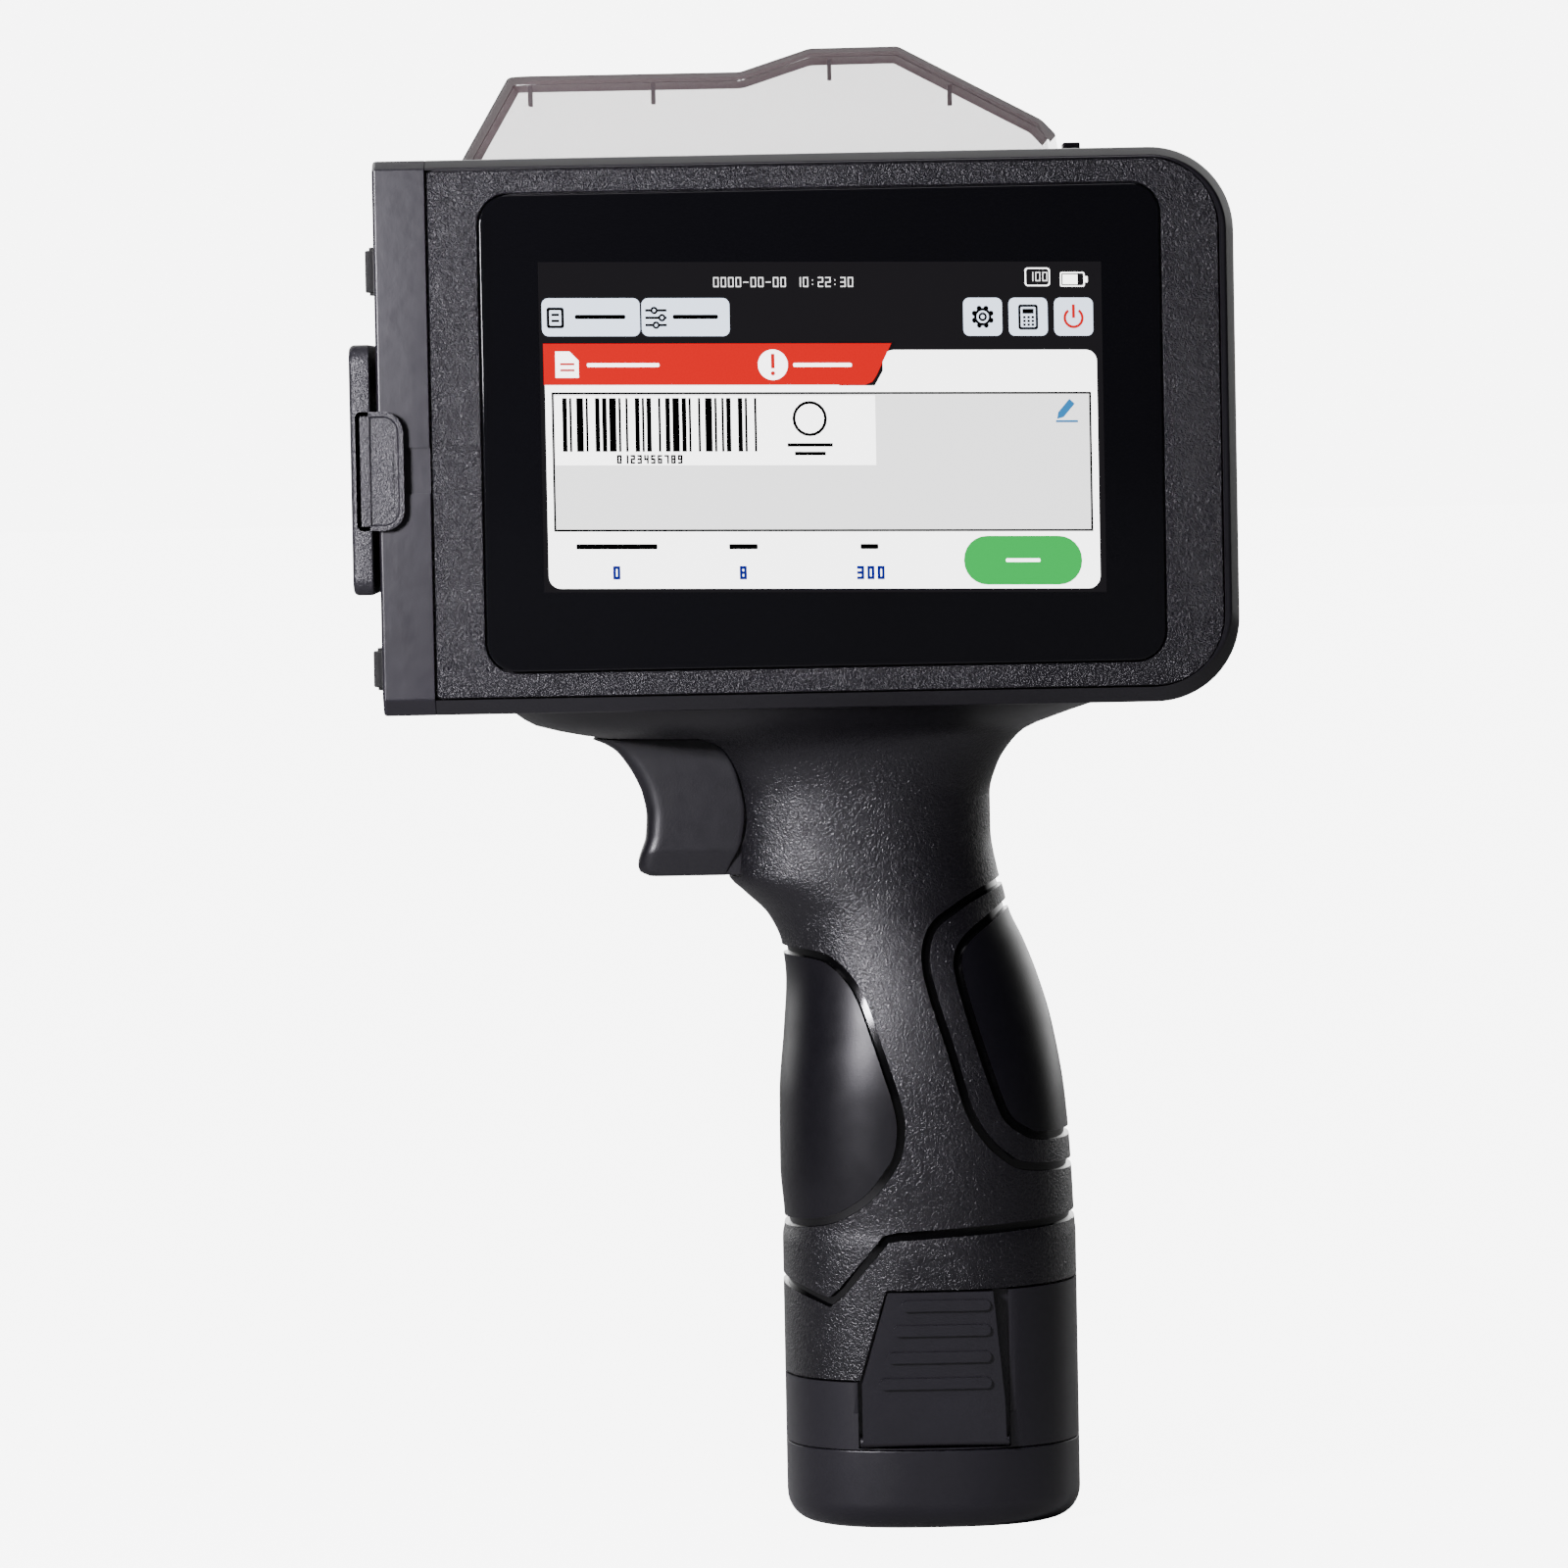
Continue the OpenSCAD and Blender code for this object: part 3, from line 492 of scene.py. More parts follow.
class Shader:
    """A node material being put together round one Principled shader."""

    def __init__(self, name: str) -> None:
        """Starts a material.

        Args:
            name: The material's name.
        """
        self.material = bpy.data.materials.new(name)
        self.material.use_nodes = True
        self.tree = self.material.node_tree
        self.surface = self.tree.nodes["Principled BSDF"]
        self.place = self.add("ShaderNodeTexCoord").outputs["Object"]

    def add(self, kind: str, **inputs: object) -> bpy.types.Node:
        """Adds a node and sets or links its inputs.

        Args:
            kind: The node's type.
            inputs: Values or outputs for inputs, by name with _ for a space.

        Returns:
            The new node.
        """
        node = self.tree.nodes.new(kind)
        for key, value in inputs.items():
            self.feed(node.inputs[key.replace("_", " ")], value)
        return node

    def feed(self, socket: bpy.types.NodeSocket, value: object) -> None:
        """Links an output to a socket, or sets the socket's value."""
        if isinstance(value, bpy.types.NodeSocket):
            self.tree.links.new(value, socket)
        else:
            socket.default_value = value

    def set(self, **inputs: object) -> None:
        """Sets or links inputs of the Principled shader, by name with _ for a space."""
        for key, value in inputs.items():
            self.feed(self.surface.inputs[key.replace("_", " ")], value)

    def noise(self, size: float, detail: float = 2.0, distortion: float = 0.0) -> bpy.types.NodeSocket:
        """Returns a noise pattern whose features measure about size millimetres."""
        node = self.add("ShaderNodeTexNoise", Vector=self.place, Scale=1 / (size * MM),
                        Detail=detail, Distortion=distortion)
        return node.outputs["Fac"]

    def cells(self, size: float) -> bpy.types.NodeSocket:
        """Adds a pattern of rounded cells.

        Args:
            size: Width of a cell, about, in millimetres.

        Returns:
            The socket with the distance from a cell's middle.
        """
        node = self.tree.nodes.new("ShaderNodeTexVoronoi")
        node.feature = "SMOOTH_F1"
        self.feed(node.inputs["Vector"], self.place)
        self.feed(node.inputs["Scale"], 1 / (size * MM))
        self.feed(node.inputs["Smoothness"], 0.6)
        return node.outputs["Distance"]

    def between(self, factor: object, low: float, high: float, start: float = 0.0,
                end: float = 1.0) -> bpy.types.NodeSocket:
        """Adds a number that follows a factor.

        Args:
            factor: A socket or a number.
            low: The number where the factor is start.
            high: The number where the factor is end.
            start: The factor's first value.
            end: The factor's last value.

        Returns:
            The socket with the number.
        """
        node = self.add("ShaderNodeMapRange", Value=factor, From_Min=start, From_Max=end, To_Min=low,
                        To_Max=high)
        return node.outputs["Result"]

    def maths(self, operation: str, a: object, b: object) -> bpy.types.NodeSocket:
        """Adds a sum or a product.

        Args:
            operation: ADD or MULTIPLY.
            a: A socket or a number.
            b: A socket or a number.

        Returns:
            The socket with the result.
        """
        node = self.tree.nodes.new("ShaderNodeMath")
        node.operation = operation
        self.feed(node.inputs[0], a)
        self.feed(node.inputs[1], b)
        return node.outputs[0]

    def mix(self, factor: object, a: Colour, b: Colour) -> bpy.types.NodeSocket:
        """Adds a mixture of two colours.

        Args:
            factor: A socket or a number from 0 to 1.
            a: The colour where the factor is 0.
            b: The colour where the factor is 1.

        Returns:
            The socket with the colour.
        """
        node = self.tree.nodes.new("ShaderNodeMix")
        node.data_type = "RGBA"
        self.feed(node.inputs[0], factor)
        node.inputs[6].default_value = (*a, 1)
        node.inputs[7].default_value = (*b, 1)
        return node.outputs[2]

    def stain(self, size: float, detail: float, darker: Colour, lighter: Colour) -> None:
        """Sets a base colour that drifts between two.

        Args:
            size: Width of the drifts in millimetres.
            detail: Detail of the drifts.
            darker: One colour.
            lighter: The other colour.
        """
        self.set(Base_Color=self.mix(self.noise(size, detail), darker, lighter))

    def sheen(self, size: float, detail: float, low: float, high: float) -> None:
        """Sets a roughness that drifts between two values.

        Args:
            size: Width of the drifts in millimetres.
            detail: Detail of the drifts.
            low: The lower roughness.
            high: The higher roughness.
        """
        self.set(Roughness=self.between(self.noise(size, detail), low, high))

    def bump(self, height: bpy.types.NodeSocket, depth: float, strength: object = 1.0) -> None:
        """Feeds a height pattern, depth millimetres deep, to the shader's normal."""
        node = self.add("ShaderNodeBump", Height=height, Strength=strength)
        node.inputs["Distance"].default_value = depth * MM
        self.set(Normal=node.outputs["Normal"])


@dataclass(frozen=True)
class Plastic:
    """Moulded plastic: a tint, a gloss, and a grain of a given size and depth."""

    name: str
    tint: Colour
    roughness: float = 0.4
    grain: float = 0.4
    depth: float = 0.02
    mottle: float = 0.25
    specular: float = 0.5
    coarse: bool = False

    def make(self) -> bpy.types.Material:
        """Returns the finished material."""
        s = Shader(self.name)
        s.stain(14, 3, scaled(self.tint, 1 - self.mottle), scaled(self.tint, 1 + self.mottle))
        s.set(Specular_IOR_Level=self.specular)
        s.sheen(3, 4, self.roughness - 0.05, self.roughness + 0.05)
        if self.coarse:
            height = s.maths("ADD", s.cells(self.grain),
                             s.maths("MULTIPLY", s.noise(self.grain * 0.45, 2), 0.5))
        else:
            height = s.noise(self.grain, 3)
        s.bump(height, self.depth)
        return s.material


@dataclass(frozen=True)
class Leather:
    """Plastic with a worm-like moulded grain that can fade out towards a height."""

    name: str
    tint: Colour
    roughness: float = 0.42
    grain: float = 0.5
    depth: float = 0.1
    fade: tuple[float, float] = (1.0, 2.0)
    specular: float = 0.5

    def make(self) -> bpy.types.Material:
        """Returns the finished material."""
        s = Shader(self.name)
        s.stain(14, 3, scaled(self.tint, 0.8), scaled(self.tint, 1.2))
        s.set(Specular_IOR_Level=self.specular)
        s.sheen(3, 4, self.roughness - 0.05, self.roughness + 0.06)
        worms = s.between(s.noise(self.grain, 1.5, 0.9), -1.0, 2.0)
        pores = s.noise(self.grain * 0.3, 2)
        height = s.add("ShaderNodeSeparateXYZ", Vector=s.place).outputs["Z"]
        kept = s.between(height, 1.0, 0.08, *self.fade)
        s.bump(s.maths("ADD", worms, s.maths("MULTIPLY", pores, 0.5)), self.depth, kept)
        return s.material


@dataclass(frozen=True)
class Metal:
    """Bare metal with fine scratches."""

    name: str
    tint: Colour
    roughness: float = 0.3
    grain: float = 0.15

    def make(self) -> bpy.types.Material:
        """Returns the finished material."""
        s = Shader(self.name)
        s.set(Metallic=1.0)
        s.stain(2.5, 4, scaled(self.tint, 0.8), self.tint)
        s.sheen(0.8, 5, self.roughness * 0.7, self.roughness * 1.3)
        s.bump(s.noise(self.grain, 4, 1.5), 0.006)
        return s.material


@dataclass(frozen=True)
class Smoke:
    """Frosted see-through plastic."""

    name: str
    tint: Colour
    cover: float
    roughness: float = 0.35

    def make(self) -> bpy.types.Material:
        """Returns the finished material."""
        s = Shader(self.name)
        s.stain(9, 3, scaled(self.tint, 0.9), self.tint)
        s.set(Alpha=self.cover)
        s.sheen(2, 4, self.roughness - 0.06, self.roughness + 0.06)
        s.bump(s.noise(0.35, 3), 0.015)
        return s.material


@dataclass(frozen=True)
class CoverGlass:
    """Black cover glass with a faint smear in its gloss."""

    name: str = "black_glass"
    tint: Colour = (0.0022, 0.0022, 0.0028)

    def make(self) -> bpy.types.Material:
        """Returns the finished material."""
        s = Shader(self.name)
        s.stain(60, 2, self.tint, scaled(self.tint, 1.4))
        s.set(Specular_IOR_Level=0.32)
        s.sheen(25, 3, 0.05, 0.1)
        s.bump(s.noise(8, 1), 0.001)
        return s.material


@dataclass(frozen=True)
class Lit:
    """A lit patch of the display."""

    name: str
    tint: Colour
    strength: float = 1.0

    def make(self) -> bpy.types.Material:
        """Returns the finished material."""
        s = Shader(self.name)
        dots = s.between(s.noise(0.5, 1), 0.985, 1.0)
        s.set(Base_Color=s.mix(dots, (0, 0, 0), scaled(self.tint, 0.1)))
        s.set(Emission_Color=s.mix(dots, scaled(self.tint, 0.9), self.tint))
        s.set(Emission_Strength=self.strength, Specular_IOR_Level=0.0, Roughness=0.6)
        return s.material


@dataclass(frozen=True)
class CircuitBoard:
    """Solder mask with fine tracks."""

    name: str = "solder_mask"
    tint: Colour = (0.012, 0.09, 0.035)

    def make(self) -> bpy.types.Material:
        """Returns the finished material."""
        s = Shader(self.name)
        tracks = s.add("ShaderNodeTexBrick", Vector=s.place, Scale=160.0)
        tracks.inputs["Mortar Size"].default_value = 0.06
        s.set(Base_Color=s.mix(tracks.outputs["Fac"], self.tint, scaled(self.tint, 1.9)))
        s.sheen(4, 3, 0.25, 0.4)
        s.bump(tracks.outputs["Fac"], 0.03)
        return s.material


class Finishes:
    """Every finish of the printer, made once and handed out by the record's slot names."""

    GRAINED = Leather("grained_black", (0.0045, 0.0040, 0.0058), 0.32, 0.42, 0.10, specular=0.34)
    SATIN = Plastic("satin_black", (0.0055, 0.0050, 0.0070), 0.33, 0.35, 0.01)
    END = Plastic("end_cap_satin", (0.0105, 0.0095, 0.0128), 0.35, 2.5, 0.035, specular=0.38)
    PACK = Plastic("pack_satin", (0.0078, 0.0071, 0.0100), 0.37, 0.3, 0.01)
    RUBBER = Plastic("rubber", (0.014, 0.014, 0.014), 0.7, 0.3, 0.03, specular=0.3)
    GRIP = Leather("grip_grain", (0.0036, 0.0032, 0.0047), 0.31, 0.42, 0.06, (0.131, 0.1365))
    POLISHED = Plastic("polished_channel", (0.0016, 0.0016, 0.0018), 0.12, 1.5, 0.004)
    HAND = Plastic("hand_panel", (0.0036, 0.0032, 0.0048), 0.34, 0.35, 0.012, specular=0.36)
    SMOKE = Smoke("smoke", (0.15, 0.105, 0.108), 0.27)
    # Darker, nearly opaque copy of the smoke: painted shade for the dark band the hood's roof shows seen
    # edge-on through its depth.
    SHADED_SMOKE = Smoke("painted_shade_smoke", (0.010, 0.0075, 0.008), 0.98, 0.6)
    STEEL = Metal("steel", (0.62, 0.62, 0.61), 0.28)
    DARK_STEEL = Metal("black_oxide_steel", (0.11, 0.11, 0.115), 0.35)

    def __init__(self) -> None:
        """Makes the material of every slot."""
        self._made: dict[str, bpy.types.Material] = {}
        self.by_slot: dict[str, object] = {
            "casing": self.SATIN, "bezel": self.GRAINED, "glass": CoverGlass(),
            "display": Metal("display_frame", (0.55, 0.56, 0.58), 0.35),
            "board": CircuitBoard(), "screw_steel": self.DARK_STEEL, "end_cap": self.END,
            "nozzle_cap": Leather("nozzle_cap_grain", (0.0085, 0.0078, 0.0108), 0.42, 0.4, 0.05),
            "seal_rubber": self.RUBBER, "pin_steel": self.STEEL,
            "holder": Plastic("inner_moulding", (0.03, 0.03, 0.033), 0.5, 0.5, 0.02),
            "cartridge": Plastic("cartridge_shell", (0.012, 0.012, 0.014), 0.3, 0.4, 0.012),
            "nozzle_gold": Metal("gold_plate", (0.83, 0.62, 0.28), 0.25),
            "smoky_cover": self.SMOKE, "latch": self.PACK,
            "spring_steel": Metal("spring_wire", (0.58, 0.57, 0.55), 0.25),
            "wheel_rubber": self.RUBBER,
            "encoder_film": Plastic("encoder_film", (0.28, 0.28, 0.3), 0.2, 0.6, 0.005),
            "bronze": Metal("sintered_bronze", (0.5, 0.32, 0.15), 0.45),
            "button": Plastic("red_button", (0.38, 0.022, 0.016), 0.35, 0.3, 0.012),
            "socket_steel": Metal("plated_steel", (0.72, 0.72, 0.73), 0.2),
            "trigger": Plastic("trigger_satin", (0.0048, 0.0043, 0.0062), 0.36, 0.3, 0.018),
            "loom": Plastic("braided_sleeve", (0.015, 0.015, 0.016), 0.6, 0.8, 0.12, coarse=True),
            "pack": self.PACK,
            "cell_wrap": Plastic("cell_wrap", (0.03, 0.12, 0.32), 0.3, 2.0, 0.01),
            "nickel": Metal("nickel", (0.66, 0.63, 0.58), 0.2),
        }

    def of(self, finish: object) -> bpy.types.Material:
        """Returns the material of a finish, making it the first time."""
        if finish.name not in self._made:
            self._made[finish.name] = finish.make()
        return self._made[finish.name]

    def slot(self, name: str) -> bpy.types.Material:
        """Returns the material of a record slot."""
        return self.of(self.by_slot[name])


# ---------------------------------------------------------------- workshop

def placed(name: str, data: bpy.types.ID) -> bpy.types.Object:
    """Makes an object of a mesh, a light or a camera and links it to the scene."""
    made = bpy.data.objects.new(name, data)
    bpy.context.scene.collection.objects.link(made)
    return made


class Workshop:
    """Turns meshes into pieces that ride on the frame's bodies."""

    def __init__(self, frame: dict, finishes: Finishes) -> None:
        """Keeps the frame and the finishes.

        Args:
            finishes: The finishes to dress pieces with.
        """
        self.nodes = frame["nodes"]
        self.finishes = finishes
        self.slots = {s["node"]: s["material_slot"] for s in frame["record"]["subparts"]}
        self.bodies = frame["record"]["behaviour"]["bodies"]
        self.replaced: set[str] = set()

    def body_of(self, node: str) -> str:
        """Returns the name of the body that a node belongs to."""
        return next(body for body, members in self.bodies.items() if node in members)

    def size(self, node: str) -> tuple[Vector, Vector]:
        """Returns a node's lowest and highest corners in millimetres."""
        low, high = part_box(node)
        return low / MM, high / MM

    def piece(self, name: str, bm: bmesh.types.BMesh, finishes: Sequence[object], body: str,
              replaces: Iterable[str] = (), slot: str = "", sharp: float = 32,
              weighted: bool = True) -> bpy.types.Object:
        """Makes a mesh into a piece of the printer.

        Args:
            name: The piece's name.
            bm: Its mesh, which is freed.
            finishes: One finish for each of its material slots.
            body: The body it rides on.
            replaces: Frame nodes that it stands for.
            slot: The record's material slot, or nothing for that of the first node replaced; it is looked up
                and not used.
            sharp: Edges bent by more than this many degrees are shaded sharp.
            weighted: Whether flat faces keep flat shading next to rounded edges.

        Returns:
            The piece.
        """
        mesh = bpy.data.meshes.new(name)
        bm.to_mesh(mesh)
        bm.free()
        for face in mesh.polygons:
            face.use_smooth = True
        mesh.set_sharp_from_angle(angle=math.radians(sharp))
        made = placed(name, mesh)
        for finish in finishes:
            mesh.materials.append(self.finishes.of(finish))
        if weighted:
            modifier = made.modifiers.new("flat_faces", "WEIGHTED_NORMAL")
            modifier.keep_sharp = True
        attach(made, body)
        nodes = list(replaces)
        if nodes:
            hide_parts(*nodes)
            self.replaced.update(nodes)
        slot or self.slots[nodes[0]]
        LOG.info("%s on %s: %d faces", name, body, len(mesh.polygons))
        return made

    def stand_in(self, node: str, width: float, name: str = "", finishes: Sequence[object] = (),
                 steps: int = 2, angle: float = 30) -> bpy.types.Object:
        """Replaces a node with a copy whose edges are rounded.

        Args:
            node: The node.
            width: Width of the rounding.
            name: The piece's name, or nothing for the node's with _body.
            finishes: Its finishes, or nothing for its slot's.
            steps: Number of faces across a rounding.
            angle: Edges bent by more than this many degrees are rounded.

        Returns:
            The piece.
        """
        chosen = list(finishes) or [self.finishes.by_slot[self.slots[node]]]
        return self.piece(name or f"{node}_body", self.rounded(node, width, steps, angle), chosen,
                          self.body_of(node), [node])

    def rounded(self, node: str, width: float, steps: int = 2, angle: float = 35) -> bmesh.types.BMesh:
        """Copies a node and rounds its edges.

        Args:
            node: The node.
            width: Width of the rounding.
            steps: Number of faces across a rounding.
            angle: Edges bent by more than this many degrees are rounded.

        Returns:
            A new bmesh.
        """
        return soften(merge_flat(copy_of(self.nodes[node])), width, steps, angle)

    def cut(self, target: bmesh.types.BMesh, tools: Sequence[bmesh.types.BMesh],
            operation: str = "DIFFERENCE") -> bmesh.types.BMesh:
        """Cuts tools out of a mesh, or joins them to it.

        Args:
            target: The mesh to cut, which is freed.
            tools: The meshes to cut with, which are freed.
            operation: DIFFERENCE or UNION.

        Returns:
            The new mesh.
        """
        def shown(bm: bmesh.types.BMesh) -> bpy.types.Object:
            """Links a mesh to the scene as a plain object."""
            mesh = bpy.data.meshes.new("tool")
            bm.to_mesh(mesh)
            bm.free()
            return placed("tool", mesh)

        base = shown(target)
        cutters = [shown(tool) for tool in tools]
        for cutter in cutters:
            modifier = base.modifiers.new("cut", "BOOLEAN")
            modifier.operation = operation
            modifier.solver = "EXACT"
            modifier.object = cutter
        graph = bpy.context.evaluated_depsgraph_get()
        result = bmesh.new()
        result.from_mesh(base.evaluated_get(graph).to_mesh())
        if not result.faces:
            raise ValueError("the cut left nothing")
        for made in (base, *cutters):
            mesh = made.data
            bpy.data.objects.remove(made)
            bpy.data.meshes.remove(mesh)
        return result

    def dress_the_rest(self) -> None:
        """Gives every frame node that still shows the material of its slot."""
        for node, made in self.nodes.items():
            if node in self.replaced:
                continue
            made.data.materials.clear()
            made.data.materials.append(self.finishes.slot(self.slots[node]))


# ---------------------------------------------------------------- head

BAND = 1.5  # width of the sloping band round the head's faces, at the top and the sides
BAND_DEPTH = 2.8  # how far a face stands out inside its band
BAND_DROP = 1.2  # how much wider the band is at the bottom


def banded(bm: bmesh.types.BMesh) -> bmesh.types.BMesh:
    """Raises the near face of a solid inside a sloping band that is wider along the bottom."""
    face = near_face(bm)
    inset(bm, face, BAND, BAND_DEPTH)
    heights = [v.co.z for v in face.verts]
    top, span = max(heights), max(heights) - min(heights)
    for vert in face.verts:
        vert.co.z = top - (top - vert.co.z) * (1 - BAND_DROP * MM / span)
    return bm


@dataclass
class HeadCasings:
    """The two casings of the print head."""

    shop: Workshop
    left: float = -80.7
    corner: float = 14.0
    wall: float = 2.5
    pocket: float = 2.5
    face_wall: float = 4.5
    overrun: float = 20.0

    def outer(self, grown: float = 0.0) -> list[Point]:
        """Returns the head's outline in X and Z, run on past its open left end."""
        low, high = self.shop.size("head_front_shell")
        rect = Rect(self.left - self.overrun, high.x, low.z, high.z, (0, self.corner, self.corner, 0))
        return rect.grown(grown).outline(24)

    def build_front(self) -> None:
        """Builds the screen-side casing with its sloping band and the bezel's pocket."""
        low, high = self.shop.size("head_front_shell")
        bm = banded(prism(self.outer(), Axis.Y, low.y + BAND_DEPTH, high.y))
        soften(bm, 0.35, 3, 20, lambda e: middle_of(e).y < low.y + BAND_DEPTH + 0.1)
        bezel_low, bezel_high = self.shop.size("front_bezel")
        pocket = Rect(self.left - 30, bezel_high.x + 0.15, bezel_low.z + 0.55, bezel_high.z + 0.35,
                      (0, 12, 12, 0))
        display_opening = block((-70, low.y - 6, 150.3), (38.8, low.y + 10, 220.7))
        beyond_left = block((self.left - 30, -60, 120), (self.left, 60, 260))
        panel_opening = block((49, -13.2, 149.8), (60, 5, 207.2))
        bm = self.shop.cut(bm, [
            prism(self.outer(-self.wall), Axis.Y, low.y + self.face_wall, high.y + 5),
            pocket.solid(Axis.Y, low.y - 5, low.y + self.pocket, 24),
            display_opening, beyond_left, panel_opening,
        ])
        self.shop.piece("head_front_casing", bm, [Finishes.SATIN], "root", ["head_front_shell"])

    def build_rear(self) -> None:
        """Builds the rear casing from its frame node, with rounded edges."""
        self.shop.stand_in("head_rear_shell", 0.35, "head_rear_casing", steps=2, angle=25)

    def build(self) -> None:
        """Builds both casings."""
        self.build_front()
        self.build_rear()


@dataclass
class Screen:
    """The textured bezel, the cover glass and the lit picture under it."""

    shop: Workshop
    glass_corner: float = 5.0
    bezel_corner: float = 11.3
    lit_left: float = -62.3
    lit_top: float = 213.8
    lit_w: float = 94.2
    lit_h: float = 54.0
    lean: float = 0.0178
    across: float = 0.989
    down: float = 1.012
    layer: float = 0.012
    overlap: float = 0.004
    code_left: float = 3.6
    code_w: float = 33.3

    TINTS = {
        "panel_dark": Lit("screen_dark", (0.0135, 0.0125, 0.0145)),
        "white": Lit("screen_white", (1.0, 1.0, 1.0), 4.5),
        "pale_blue": Lit("screen_pale_blue", (0.74, 0.84, 1.0), 2.4),
        "red": Lit("screen_red", (0.88, 0.0, 0.006)),
        "grey": Lit("screen_grey", (1.0, 1.0, 1.0), 2.1),
        "black": Lit("screen_black", (0.001, 0.001, 0.001)),
        "blue": Lit("screen_blue", (0.03, 0.26, 0.62)),
        "deep_blue": Lit("screen_deep_blue", (0.0, 0.0, 0.3)),
        "green": Lit("screen_green", (0.0, 0.62, 0.09)),
    }
    SEGMENTS = {
        "0": "abcdef", "1": "bc", "2": "abged", "3": "abgcd", "4": "fgbc", "5": "afgcd",
        "6": "afgedc", "7": "abc", "8": "abcdefg", "9": "abcdfg", "-": "g",
    }
    # widths of the code's bars and gaps in turn
    BARS = "21123113212131121321112312213121131231121123211312"

    def __post_init__(self) -> None:
        """Starts the mesh of the lit picture."""
        self.picture = bmesh.new()

    def build_bezel(self) -> None:
        """Builds the bezel with a window and a soft lip round the glass."""
        low, high = self.shop.size("front_bezel")
        glass_low, glass_high = self.shop.size("touch_glass")
        outer = Rect(low.x, high.x, low.z + 0.85, high.z + 0.05,
                     (0.6, self.bezel_corner, self.bezel_corner, 0.6))
        window = Rect(glass_low.x, glass_high.x, glass_low.z, glass_high.z, (self.glass_corner,) * 4)
        bm = self.shop.cut(outer.solid(Axis.Y, low.y, high.y, 24),
                           [window.grown(0.25).solid(Axis.Y, low.y - 1, high.y + 1, 16)])
        soften(bm, 0.22, 3, 40, lambda e: middle_of(e).y < low.y + 0.05)
        self.shop.piece("screen_bezel", bm, [Finishes.GRAINED], "root", ["front_bezel"])

    def build_glass(self) -> None:
        """Builds the cover glass with a polished edge."""
        low, high = self.shop.size("touch_glass")
        rect = Rect(low.x, high.x, low.z, high.z, (self.glass_corner,) * 4)
        bm = soften(rect.solid(Axis.Y, low.y, high.y, 16), 0.3, 3, 40)
        self.shop.piece("cover_glass", bm, [self.shop.finishes.by_slot["glass"]], "root", ["touch_glass"])

    def patch(self, tint: str, outline: Sequence[Point], level: int) -> None:
        """Adds one flat patch to the picture.

        Args:
            tint: Name of its tint.
            outline: Corner points, right and down from the picture's top left corner.
            level: How many layers it lies above the glass.
        """
        front = self.shop.size("touch_glass")[0].y
        points = [(self.lit_left + u * self.across, self.lit_top - v * self.down - u * self.lean)
                  for u, v in outline]
        back = front - self.layer * level + self.overlap
        add(self.picture, prism(points, Axis.Y, front - self.layer * (level + 1), back),
            slot=list(self.TINTS).index(tint))

    def box(self, tint: str, left: float, top: float, right: float, low: float, level: int,
            radius: float = 0.0) -> None:
        """Adds a rectangular patch.

        Args:
            tint: Name of its tint.
            left: Its left side.
            top: Its top.
            right: Its right side.
            low: Its lower side.
            level: Layer it lies on.
            radius: Radius of its corners.
        """
        self.patch(tint, Rect(left, right, top, low, (radius,) * 4).outline(6), level)

    def ring(self, tint: str, u: float, v: float, radius: float, width: float, level: int,
             start: float = 0, end: float = 360) -> None:
        """Adds a ring or part of one.

        Args:
            tint: Name of its tint.
            u: Its middle, measured right.
            v: Its middle, measured down.
            radius: Its outer radius.
            width: Width of its stroke.
            level: Layer it lies on.
            start: Angle where it starts, in degrees.
            end: Angle where it ends.
        """
        steps = 20
        arc = [start + (end - start) * i / steps for i in range(steps + 1)]
        for a, b in zip(arc, arc[1:]):
            self.patch(tint, [around(u, v, radius, a), around(u, v, radius, b),
                              around(u, v, radius - width, b), around(u, v, radius - width, a)], level)

    def disc(self, tint: str, u: float, v: float, radius: float, level: int) -> None:
        """Adds a round patch.

        Args:
            tint: Name of its tint.
            u: Its middle, measured right.
            v: Its middle, measured down.
            radius: Its radius.
            level: Layer it lies on.
        """
        self.patch(tint, [around(u, v, radius, 10 * i) for i in range(36)], level)

    def digits(self, tint: str, words: str, left: float, top: float, height: float, level: int,
               weight: float = 0.13) -> None:
        """Adds a row of seven-stroke digits.

        Args:
            tint: Name of their tint.
            words: The digits, with : and - and spaces.
            left: Where the row starts.
            top: Top of the digits.
            height: Their height.
            level: Layer they lie on.
            weight: Stroke width over the height.
        """
        width, stroke = height * 0.55, height * weight
        half = height / 2
        bars = {
            "a": (0, 0, width, stroke), "g": (0, half - stroke / 2, width, half + stroke / 2),
            "d": (0, height - stroke, width, height), "f": (0, 0, stroke, half),
            "b": (width - stroke, 0, width, half), "e": (0, half, stroke, height),
            "c": (width - stroke, half, width, height),
        }
        for mark in words:
            if mark == ":":
                for v in (height * 0.25, height * 0.68):
                    self.box(tint, left + width * 0.3, top + v, left + width * 0.3 + stroke,
                             top + v + stroke, level)
            for name in self.SEGMENTS.get(mark, ""):
                u0, v0, u1, v1 = bars[name]
                self.box(tint, left + u0, top + v0, left + u1, top + v1, level)
            left += width * 1.42

